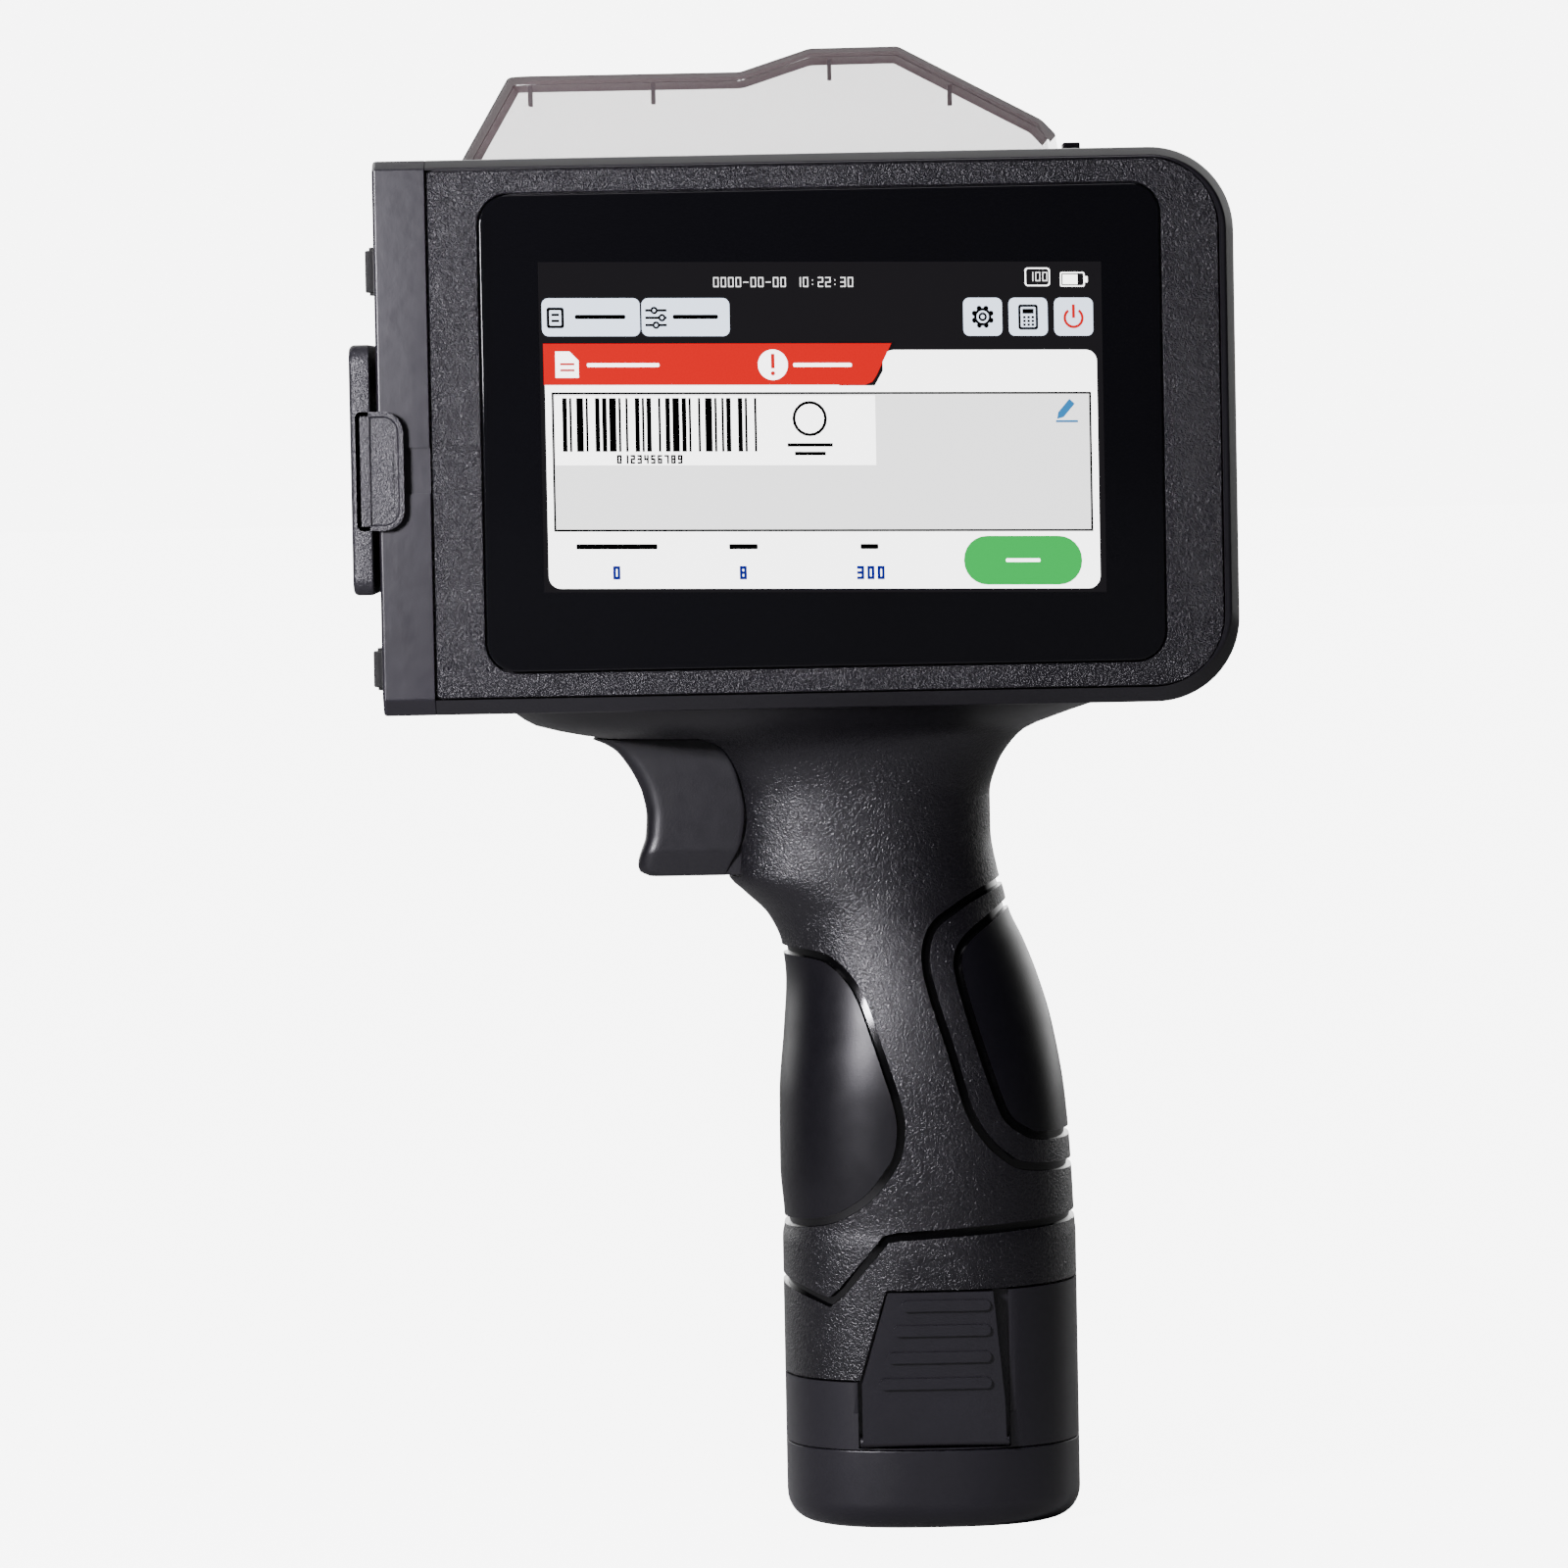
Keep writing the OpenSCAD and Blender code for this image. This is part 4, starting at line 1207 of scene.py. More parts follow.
    def build_top_bar(self) -> None:
        """Adds the clock, the level icons and the two rows of buttons."""
        self.digits("grey", "0000-00-00 10:22:30", 29.3, 2.5, 1.6, 2, 0.1)
        self.box("white", 81.4, 1.0, 85.6, 4.0, 2, 0.5)
        self.box("panel_dark", 81.6, 1.2, 85.4, 3.8, 3, 0.4)
        self.digits("grey", "100", 82.0, 1.7, 1.5, 4, 0.1)
        for row in (
            ("white", 87.3, 1.7, 91.4, 4.1, 2, 0.3), ("panel_dark", 87.5, 1.9, 91.2, 3.9, 3, 0.2),
            ("white", 87.7, 2.1, 90.2, 3.7, 4), ("white", 91.4, 2.4, 91.9, 3.4, 2),
            ("pale_blue", 0.5, 5.9, 16.9, 12.1, 2, 1.1), ("pale_blue", 17.2, 5.9, 31.9, 12.1, 2, 1.1),
            ("black", 1.3, 7.4, 4.2, 10.8, 3, 0.4), ("pale_blue", 1.75, 7.85, 3.75, 10.35, 4, 0.2),
        ):
            self.box(*row)
        for v in (8.4, 9.4):
            self.box("black", 2.1, v, 3.4, v + 0.4, 5)
        for u, v in ((18.3, 7.9), (19.6, 9.1), (18.6, 10.3)):
            self.box("black", 17.8, v - 0.2, 21.4, v + 0.2, 3)
            self.disc("black", u + 1.0, v, 0.62, 4)
            self.disc("pale_blue", u + 1.0, v, 0.26, 5)
        for u0, u1 in ((6.0, 14.5), (22.4, 30.0)):
            self.box("black", u0, 8.6, u1, 9.3, 3, 0.3)
        for u in (71.0, 78.6, 86.2):
            self.box("pale_blue", u, 5.9, u + 6.5, 12.1, 2, 1.0)
        for i in range(8):
            self.disc("black", *around(74.25, 9.0, 1.5, 45 * i + 22.5), 0.42, 3)
        self.ring("black", 74.25, 9.0, 1.45, 0.42, 4)
        self.ring("black", 74.25, 9.0, 0.72, 0.38, 4)
        for row in (
            ("black", 80.2, 7.0, 83.5, 11.1, 3, 0.4), ("pale_blue", 80.6, 7.4, 83.1, 10.7, 4, 0.2),
            ("black", 80.9, 7.7, 82.8, 8.5, 5),
        ):
            self.box(*row)
        for i in range(9):
            u, v = 81.0 + 0.7 * (i % 3), 8.9 + 0.6 * (i // 3)
            self.box("black", u, v, u + 0.45, v + 0.38, 5)
        self.ring("red", 89.45, 9.2, 1.7, 0.45, 3, -55, 235)
        self.box("red", 89.2, 7.0, 89.7, 9.2, 4)

    def build_banner(self) -> None:
        """Adds the red state banner and the white work panel under it."""
        self.box("white", 0.8, 14.4, 93.2, 53.4, 2, 2.0)
        self.patch("panel_dark", [(50, 13.0), (60.2, 13.0), (56, 20.2), (50, 20.2)], 3)
        self.patch("panel_dark", [(0.4, 13.0), (59.6, 13.0), (59.0, 14.6), (0.4, 14.6)], 3)
        self.box("white", 57.4, 14.4, 93.2, 21.0, 4, 1.8)
        self.patch("red", [(0.6, 13.3), (58.9, 13.3), (56.3, 18.6), (55.6, 19.6), (54.4, 20.1),
                           (0.6, 20.1)], 5)
        self.patch("white", [(2.6, 14.6), (5.0, 14.6), (6.5, 16.1), (6.5, 18.9), (2.6, 18.9)], 6)
        for v in (16.5, 17.5):
            self.box("red", 3.4, v, 5.8, v + 0.35, 7)
        self.disc("white", 39.0, 16.8, 2.5, 6)
        self.box("red", 38.7, 15.0, 39.3, 17.4, 7)
        self.disc("red", 39.0, 18.2, 0.36, 7)
        for u0, u1 in ((7.9, 20.0), (42.4, 52.2)):
            self.box("white", u0, 16.5, u1, 17.15, 6, 0.25)

    def build_preview(self) -> None:
        """Adds the print preview: a frame, a bar code and plain marks."""
        for row in (
            ("black", 1.85, 21.25, 92.15, 44.05, 5), ("grey", 2.2, 21.6, 91.8, 43.7, 6),
            ("white", 2.3, 21.8, 56.0, 33.2, 7),
        ):
            self.box(*row)
        bars = [int(width) for width in self.BARS]
        unit = self.code_w / sum(bars)
        u = self.code_left
        for i, width in enumerate(bars):
            if i % 2 == 0:
                self.box("black", u, 22.2, u + width * unit, 31.0, 8)
            u += width * unit
        self.digits("black", "0123456789", 12.6, 31.5, 1.45, 8, 0.22)
        self.ring("black", 45.0, 25.6, 2.9, 0.5, 8)
        self.box("black", 41.2, 29.6, 48.8, 30.2, 8)
        self.box("black", 42.4, 31.0, 47.6, 31.6, 8)
        self.patch("blue", [(86.6, 24.6), (88.5, 22.4), (89.4, 23.2), (87.5, 25.4), (86.4, 25.7)], 7)
        self.box("blue", 86.2, 25.9, 89.9, 26.25, 7)

    def build_values(self) -> None:
        """Adds the row of values and the green button."""
        for middle, width, value in ((12.3, 13.6, "0"), (33.5, 4.8, "8"), (54.6, 3.0, "300")):
            self.box("black", middle - width / 2, 46.1, middle + width / 2, 46.95, 3, 0.2)
            self.digits("deep_blue", value, middle - 0.72 * len(value), 49.7, 2.2, 3, 0.22)
        self.box("green", 70.4, 44.8, 90.2, 52.8, 3, 3.9)
        self.box("white", 77.4, 48.5, 83.2, 49.1, 4, 0.25)

    def build_picture(self) -> None:
        """Builds the lit picture."""
        self.box("panel_dark", 0, 0, self.lit_w, self.lit_h, 0)
        self.build_top_bar()
        self.build_banner()
        self.build_preview()
        self.build_values()
        self.shop.piece("screen_picture", self.picture, list(self.TINTS.values()), "root",
                        slot="display", weighted=False)

    def build(self) -> None:
        """Builds the bezel, the glass and the picture."""
        self.build_bezel()
        self.build_glass()
        self.build_picture()


@dataclass
class PrintEnd:
    """The print end cap, the nozzle cap and the wheels."""

    shop: Workshop
    skin: float = 1.8
    edge: float = 0.6
    tread: int = 40
    left: float = -89.5
    encoder_axle: Point = (-81.7, -18.0)
    guide_axle: Point = (-86.5, 25.0)
    cap_hinge: Point = (-92.0, 30.5)
    wheel_rows: tuple[Point, ...] = ((143.5, 149.5), (209.5, 216.5))
    window_rows: tuple[Point, ...] = ((142.8, 150.2), (208.8, 217.2))
    bearing_heights: tuple[float, ...] = (151.0, 204.5)
    ear_rows: tuple[Point, ...] = ((162.0, 167.6), (192.4, 198.0))

    def build_end_cap(self) -> None:
        """Builds the cap over the print end with its windows and bearing blocks."""
        low, high = self.shop.size("print_end_cap")
        left, right = self.left, -80.75
        bm = banded(Rect(left - 20, right + 20, low.z, high.z).solid(
            Axis.Y, low.y + BAND_DEPTH, high.y - BAND_DEPTH))
        inset(bm, max(bm.faces, key=lambda f: f.calc_center_median().y), BAND, BAND_DEPTH)
        for x, outward in ((left, -1), (right, 1)):
            bmesh.ops.bisect_plane(bm, geom=[*bm.verts, *bm.edges, *bm.faces], plane_co=(x * MM, 0, 0),
                                   plane_no=(outward, 0, 0), clear_outer=True)
            rim = [e for e in bm.edges if e.is_boundary]
            bmesh.ops.holes_fill(bm, edges=rim, sides=0)
        bmesh.ops.recalc_face_normals(bm, faces=bm.faces)
        soften(bm, self.edge, 4, 30, lambda e: middle_of(e).x < left + 0.1)
        soften(bm, 0.2, 2, 15, lambda e: middle_of(e).x > left + 2)
        hollow = block((left + self.skin, low.y + self.skin, low.z + self.skin),
                       (right + 5, high.y - self.skin, high.z - self.skin))
        nozzle_window = block((left - 5, 6.7, 165), (left + 5, 23, 195))
        catch_recess = block((-85.1, low.y - 5, 175.9), (right + 5, low.y + 0.6, 183.5))
        shaft_way = round_bar(1.8, 141.2, 218.8, (*self.guide_axle, 0), 24)
        cutters = [hollow, nozzle_window, catch_recess, shaft_way]
        for z0, z1 in self.window_rows:
            cutters.append(block((left - 5, -26.8, z0), (left + self.skin + 0.1, -9.2, z1)))
            cutters.append(block((left - 5, 19.4, z0), (left + self.skin + 0.1, 30.6, z1)))
        bm = self.shop.cut(bm, cutters)
        for z in self.bearing_heights:
            for axle, middle, half, depth, bore in ((self.encoder_axle, -18.0, 4.5, -77.5, 3.0),
                                                    (self.guide_axle, 26.6, 3.6, -81, 2.6)):
                post = block((left + 1, middle - half, z), (depth, middle + half, z + 3))
                add(bm, self.shop.cut(post, [round_bar(bore, -3, 3, (*axle, z + 1.5), 32)]))
        for z0, z1 in self.ear_rows:
            ear = soften(block((self.cap_hinge[0], 28.9, z0), (left + 1, 32.7, z1)), 0.3)
            add(bm, ear, knuckle((*self.cap_hinge, z0), z1 - z0, Axis.Z))
        self.shop.piece("print_end_casing", bm, [Finishes.END], "root", ["print_end_cap"])

    def build_nozzle_cap(self) -> None:
        """Builds the dust cap with its side latch arm, rim and grip slot."""
        left, right = -93.9, -90.5
        plate = Rect(-35, 27.8, 159.2, 200.7, (3, 3, 3, 3)).solid(Axis.X, left, right)
        soften(plate, 0.9, 4, 40, lambda e: middle_of(e).x < left + 0.1)
        soften(plate, 0.3, 2, 40, lambda e: middle_of(e).x > right - 0.1)
        arm = Rect(-93.0, -85.1, 169.9, 189.6, (1.0, 3.4, 3.4, 1.0)).solid(Axis.Y, -35, -33.5)
        face = near_face(arm)
        inset(arm, face, 0.75)
        inset(arm, face, 0.3, -0.35)
        soften(arm, 0.3, 3, 40)
        grip_slot = block((-86.8, -40, 174.2), (-86.1, -34.5, 184))
        arm = self.shop.cut(arm, [grip_slot])
        barrel = knuckle((*self.cap_hinge, 168), 24, Axis.Z)
        web = soften(block((left, 27, 168), (-91.4, 29.6, 192)), 0.25)
        finish = self.shop.finishes.by_slot["nozzle_cap"]
        self.shop.piece("nozzle_dust_cap", add(plate, arm, barrel, web), [finish], "nozzle_cap",
                        ["nozzle_cap"])
        self.shop.stand_in("nozzle_seal", 0.3, "nozzle_seal_pad")

    def wheel(self, radius: float, low: float, high: float, centre: Point,
              hub: float) -> bmesh.types.BMesh:
        """Makes a wheel with a ribbed tyre.

        Args:
            radius: Radius over the tread.
            low: Underside of the tyre.
            high: Top of the tyre.
            centre: X and Y of the axle.
            hub: How far the hub stands out above and below the tyre.

        Returns:
            A new bmesh.
        """
        bore, rim, chamfer = 1.5, radius - 0.7, 0.15 if hub else 0.2
        profile = [(radius - chamfer, low), (radius, low + chamfer), (radius, high - chamfer),
                   (radius - chamfer, high)]
        if hub:
            profile = [(rim, low - hub), (rim, low), *profile, (rim, high), (rim, high + hub)]
        profile = [(bore, low - hub), *profile, (bore, high + hub)]
        bm = turned(profile, (*centre, 0), Axis.Z, self.tread * 2)

        def spoke(face: bmesh.types.BMFace) -> Vector:
            """Returns the way from the axle to a face's middle, in millimetres."""
            return face.calc_center_median().xy / MM - Vector(centre)

        grooves = [f for f in bm.faces if abs(f.normal.z) < 0.1 and spoke(f).length > radius - 0.1]
        ordered = sorted(grooves, key=lambda f: math.atan2(spoke(f).y, spoke(f).x))
        bmesh.ops.inset_individual(bm, faces=ordered[::2], thickness=0.08 * MM, depth=-0.25 * MM)
        return bm

    def build_wheels(self) -> None:
        """Builds the encoder wheels and the guide rollers."""
        for name, node, body, radius, centre, hub in (
            ("encoder_wheel_pair", "encoder_wheels", "encoder_shaft", 10.0, self.encoder_axle, 0.5),
            ("guide_roller_pair", "guide_rollers", "guide_shaft", 5.2, self.guide_axle, 0.0),
        ):
            bm = bmesh.new()
            for low, high in self.wheel_rows:
                add(bm, self.wheel(radius, low, high, centre, hub))
            self.shop.piece(name, bm, [Finishes.RUBBER], body, [node])

    def build(self) -> None:
        """Builds the whole print end."""
        self.build_end_cap()
        self.build_nozzle_cap()
        self.build_wheels()


@dataclass
class CartridgeCover:
    """The smoky hood over the cartridge bay, with its back panel and hinge."""

    shop: Workshop
    wall: float = 1.5
    base: float = 231.3
    near: float = 0.8
    back: float = 33.0
    hood: tuple[Point, ...] = ((-76.6, 231.3), (-68, 246), (-28.5, 246), (-16.7, 249.75), (-1.6, 249.85),
                               (22.5, 237), (25, 234.4), (25.3, 231.3))
    ribs: tuple[Point, ...] = ((-64.2, 243.8), (-43.3, 243.8), (-13.3, 247.3), (7.1, 242.6))

    def build_hood(self) -> None:
        """Builds the hood: a thin shell with ribs under its roof; roof and ribs take a darker smoke, painted
        shade for its dark top edge.
        """
        bm = prism(self.hood[::-1], Axis.Y, self.near, self.back)
        soften(bm, 4.5, 8, 40, lambda e: middle_of(e).y < self.near + 0.1 and middle_of(e).x < -70
               and middle_of(e).z > self.base + 1)
        soften(bm, 0.5, 3, 12, lambda e: middle_of(e).z > self.base + 2)
        # Roof faces take slot 1, the darker smoke: painted shade for the dark band the roof shows through its
        # depth.
        for f in bm.faces:
            f.material_index = 1 if f.normal.z > 0.3 and abs(f.normal.y) < 0.3 else 0
        floor = [f for f in bm.faces if f.calc_center_median().z < (self.base + 0.05) * MM]
        bmesh.ops.delete(bm, geom=floor, context="FACES")
        bmesh.ops.solidify(bm, geom=bm.faces, thickness=self.wall * MM)
        # The ribs take the same painted-shade smoke in slot 1.
        for x, top in self.ribs:
            add(bm, block((x - 0.35, self.near + self.wall - 0.1, top - 2.8),
                          (x + 0.35, self.near + 6, top + 0.6)), slot=1)
        self.shop.piece("cover_hood", bm, [Finishes.SMOKE, Finishes.SHADED_SMOKE], "cartridge_cover",
                        ["cartridge_cover"], weighted=False)

    def build_panel(self) -> None:
        """Builds the flat back panel, its stiffening ribs and its two knuckles."""
        back, hinge_y, hinge_z, length = self.back, 35.4, 150.8, 8
        plate = Rect(-75.8, 24.6, 153.4, 231.2, (2, 2, 0.5, 0.5))
        bm = soften(plate.solid(Axis.Y, back - 1.8, back), 0.3)
        for i in range(5):
            z = 165 + 13 * i
            rib = Rect(-66, 15, z - 1, z + 1, (1,) * 4)
            add(bm, soften(rib.solid(Axis.Y, back - 0.1, back + 0.5), 0.2, 2))
        for x in (-55.6, -2.4):
            add(bm, knuckle((x, hinge_y, hinge_z), length, Axis.X),
                soften(block((x, back - 1.2, 153.5), (x + length, hinge_y + KNUCKLE, 155.4)), 0.3),
                soften(block((x, hinge_y + 0.4, hinge_z), (x + length, hinge_y + KNUCKLE, 155.3)), 0.2))
        self.shop.piece("cover_back_panel", bm, [Finishes.SMOKE], "cartridge_cover", slot="smoky_cover")

    def build(self) -> None:
        """Builds the cover and the latch that holds it."""
        self.build_hood()
        self.build_panel()
        nub = prism([(25.3, 231.25), (29.3, 231.25), (29.3, 233.3), (27.2, 233.3), (26.3, 232.4)],
                    Axis.Y, 9, 17)
        latch = add(self.shop.rounded("cover_latch", 0.25), soften(nub, 0.25))
        self.shop.piece("cover_catch", latch, [Finishes.PACK], "cover_latch", ["cover_latch"])


# ---------------------------------------------------------------- grip

@dataclass
class Grip:
    """The two grip casings with their polished channels, and the trigger."""

    shop: Workshop
    wall: float = 2.2
    columns: int = 112
    rows: int = 112
    channel_half: float = 0.72
    channel_depth: float = 0.8
    low: float = 25.1
    opening: float = 9.0
    trigger_gap: float = 0.35
    trigger_top: float = 133.5
    trigger_round: float = 2.6
    foot_top: float = 114.2
    foot_height: float = 4.1
    foot_draw: float = 1.1

    # height, front edge, rear edge, half depth
    SECTIONS = (
        (15, -25, 25, 23), (48, -25, 25, 23), (50.5, -24.6, 24.8, 22.7), (60, -25.2, 24.4, 23),
        (72, -25.1, 23.5, 22.8), (84, -24.1, 21.5, 21.6), (92, -23.6, 19.2, 20), (98, -24.2, 16.9, 18.6),
        (103, -26.4, 14.6, 17.6), (107, -30.4, 13.6, 17), (109.8, -33, 12.8, 16.8), (117, -32.5, 11.7, 16.6),
        (123, -32.5, 11.7, 16.8), (128, -35, 13.1, 17.6), (131.6, -42, 15.4, 19), (134, -57, 18, 21.5),
        (136, -65.6, 23, 24.5), (138.95, -70, 32, 28.5),
    )
    # height, then the power of the section: 2 is an ellipse
    ROUNDNESS = ((15, 2.55), (62, 2.5), (78, 2.35), (90, 2.15), (103, 2.1), (109.5, 2.5), (138.95, 2.5))
    CHANNELS = (
        ((-32, 97.4), (-27, 97.3), (-18.9, 96.7), (-15.6, 95.4), (-12.7, 92.4), (-10.8, 88.8), (-8.8, 83),
         (-6.9, 77.2), (-5.4, 72.3), (-4.7, 68), (-5.4, 63.2), (-7.3, 60), (-9.8, 56.8), (-13.1, 54.2),
         (-18.1, 52), (-28, 50.8), (-34, 50.6)),
        ((24, 113), (17, 109.8), (9.2, 106.5), (5.1, 104.1), (1.8, 101.7), (0.2, 98.4), (0.1, 94.3),
         (1.5, 88.5), (3.8, 81.1), (5.4, 75.3), (6.9, 70.4), (9.3, 66.2), (12.5, 62.9), (16.6, 60.8),
         (28, 60), (34, 60)),
        ((24, 109.5), (18, 106.6), (10, 101.5), (6.6, 98.6), (5.4, 95.9), (5.7, 92.6), (7.2, 86.8),
         (9.2, 80.2), (11.1, 74.4), (13.1, 69.4), (15.9, 66.9), (19.1, 65.7), (28, 65.5), (34, 65.5)),
    )
    COLLAR = ((-34, 45), (-28, 42.4), (-17.3, 38.4), (-15.2, 40.2), (-7.6, 49.2), (-5.8, 49.6), (28, 51.6),
              (34, 51.8))
    SEAM = ((109.3, -33.5), (111.7, -32.4), (116, -30.3), (120.7, -29.7), (126.7, -30.8), (131.3, -33),
            (133, -35.2), (133.8, -37.6))
    FINGER = ((110.1, -46.4), (110.9, -48.0), (112, -48.3), (112.9, -48.2), (117.1, -46.9), (120.4, -46.7),
              (124, -47.3), (127.1, -48.6), (129.4, -50), (131.3, -51.5), (132.6, -53.4), (133.5, -55.6))

    def __post_init__(self) -> None:
        """Works out the curves that the channels follow."""
        self.paths = [smooth_path(path) for path in self.CHANNELS] + [list(self.COLLAR)]
        self.panels = [self.paths[0], [*self.paths[2], (40, 66), (40, 110)]]

    def form(self, inset: float, low: float, high: float) -> bmesh.types.BMesh:
        """Makes the grip's outer form as a closed solid.

        Args:
            inset: How far inside the outer form.
            low: Where it starts.
            high: Where it ends.

        Returns:
            A new bmesh.
        """
        heights = [section[0] for section in self.SECTIONS]
        bm = bmesh.new()
        bmesh.ops.create_grid(bm, x_segments=self.columns, y_segments=self.rows, size=0.5)
        for vert in bm.verts:
            z = low + (high - low) * (vert.co.y + 0.5)
            left, right, half = (blend_values(heights, [c[n] for c in self.SECTIONS], z) for n in (1, 2, 3))
            power = blend_values(*zip(*self.ROUNDNESS), z)
            x, y = superellipse(left + inset, right - inset, half - inset, power, 360 * (vert.co.x + 0.5))
            vert.co = Vector((x, y, z)) * MM
        bmesh.ops.remove_doubles(bm, verts=bm.verts, dist=WELD)
        close(bm)
        return bm

    def slot_at(self, centre: Vector) -> int:
        """Returns the finish slot of a face from where its centre is, in millimetres."""
        if min(distance_to(path, centre.x, centre.z) for path in self.paths) < self.channel_half + 0.02:
            return 1
        return 2 if any(inside(panel, centre.x, centre.z) for panel in self.panels) else 0

    def build_casings(self) -> None:
        """Builds both grip casings: the form, its channels, its hollow and its openings."""
        high = self.SECTIONS[-1][0]
        bm = self.shop.cut(self.form(0, self.low, high),
                           [prism(ribbon(path, self.channel_half), Axis.Y, -40, 40) for path in self.paths])
        bm = self.shop.cut(bm, [self.form(self.channel_depth, self.low + 0.1, high - 0.1)], "UNION")
        seam = [(x, z) for z, x in self.SEAM]
        edge = [(-30, 25.4), (-12.4, 25.4), (-7.8, 40.6), (10.5, 40.6), (30, 41.2), (30, 0), (-30, 0)]
        recess = Rect(-5.2, 8.0, 42.4, 45.8, (0.3,) * 4)
        bm = self.shop.cut(bm, [
            self.form(self.wall, self.low - 5, high - 2.5),
            prism([(-90, 109.3), *smooth_path(seam, 4), (-90, 133.8)], Axis.Y, -40, 40),
            block((-60, -self.opening, 109.85), (-22, self.opening, 134.1)),
            prism(edge, Axis.Y, -40, 40),
            recess.solid(Axis.Y, -40, -22.75, 3),
        ])
        for side, name in ((-1, "near"), (1, "far")):
            away = (0.01, 60) if side < 0 else (-60, -0.01)
            half = self.shop.cut(bm.copy(), [block((-100, away[0], 0), (60, away[1], 200))])
            for face in half.faces:
                face.material_index = self.slot_at(face.calc_center_median() / MM)
            self.shop.piece(f"grip_{name}_casing", half, [Finishes.GRIP, Finishes.POLISHED, Finishes.HAND],
                            "root", [f"grip_{name}_shell"], sharp=38, weighted=False)
        bm.free()

    def trigger_point(self, z: float, turn: float, half: float) -> Vector:
        """Returns a place on the trigger's outside.

        Args:
            z: Height.
            turn: From -1 at the rear near corner through 0 at the middle of the finger face to 1.
            half: Half of the trigger's width.

        Returns:
            The place in millimetres.
        """
        front = blend_values([p[0] for p in self.FINGER], [p[1] for p in self.FINGER], z)
        rear = blend_values([p[0] for p in self.SEAM], [p[1] for p in self.SEAM], z) - self.trigger_gap
        foot = max(0.0, (self.foot_top - z) / self.foot_height)
        half -= self.foot_draw * foot
        radius = min(self.trigger_round, (rear - front) * 0.4)
        straight = rear - front - radius
        total = straight + radius * math.pi / 2 + half - radius
        run, sign = abs(turn) * total, math.copysign(1, turn)
        if run < half - radius:
            return Vector((front, sign * run, z))
        angle = (run - half + radius) / radius
        if angle < math.pi / 2:
            return Vector((front + radius - radius * math.cos(angle),
                           sign * (half - radius + radius * math.sin(angle)), z))
        along = run - half + radius - radius * math.pi / 2
        return Vector((min(rear, front + radius + along), sign * half, z))

    def build_trigger(self) -> None:
        """Builds the trigger with a rounded finger face and a drawn-in foot."""
        low, high = self.shop.size("trigger")
        bm = bmesh.new()
        bmesh.ops.create_grid(bm, x_segments=72, y_segments=60, size=0.5)
        for vert in bm.verts:
            z = low.z + (self.trigger_top - low.z) * (vert.co.y + 0.5)
            vert.co = self.trigger_point(z, 2 * vert.co.x, high.y) * MM
        rim = [e for e in bm.edges if e.is_boundary]
        closed = bmesh.ops.extrude_edge_only(bm, edges=[e for e in rim if middle_of(e).x > -47
                                                        and abs(abs(middle_of(e).y) - high.y) < 1.2
                                                        and abs(e.verts[0].co.z - e.verts[1].co.z) > 1e-7])
        for vert in (g for g in closed["geom"] if isinstance(g, bmesh.types.BMVert)):
            vert.co.y = 0
        bmesh.ops.remove_doubles(bm, verts=bm.verts, dist=WELD)
        close(bm)
        soften(bm, 0.45, 3, 50)
        add(bm, block((-40, -7.5, 110.15), (high.x, 7.5, 131)))
        self.shop.piece("trigger_blade", bm, [self.shop.finishes.by_slot["trigger"]], "trigger", ["trigger"],
                        weighted=False)

    def build(self) -> None:
        """Builds both casings and the trigger."""
        self.build_casings()
        self.build_trigger()


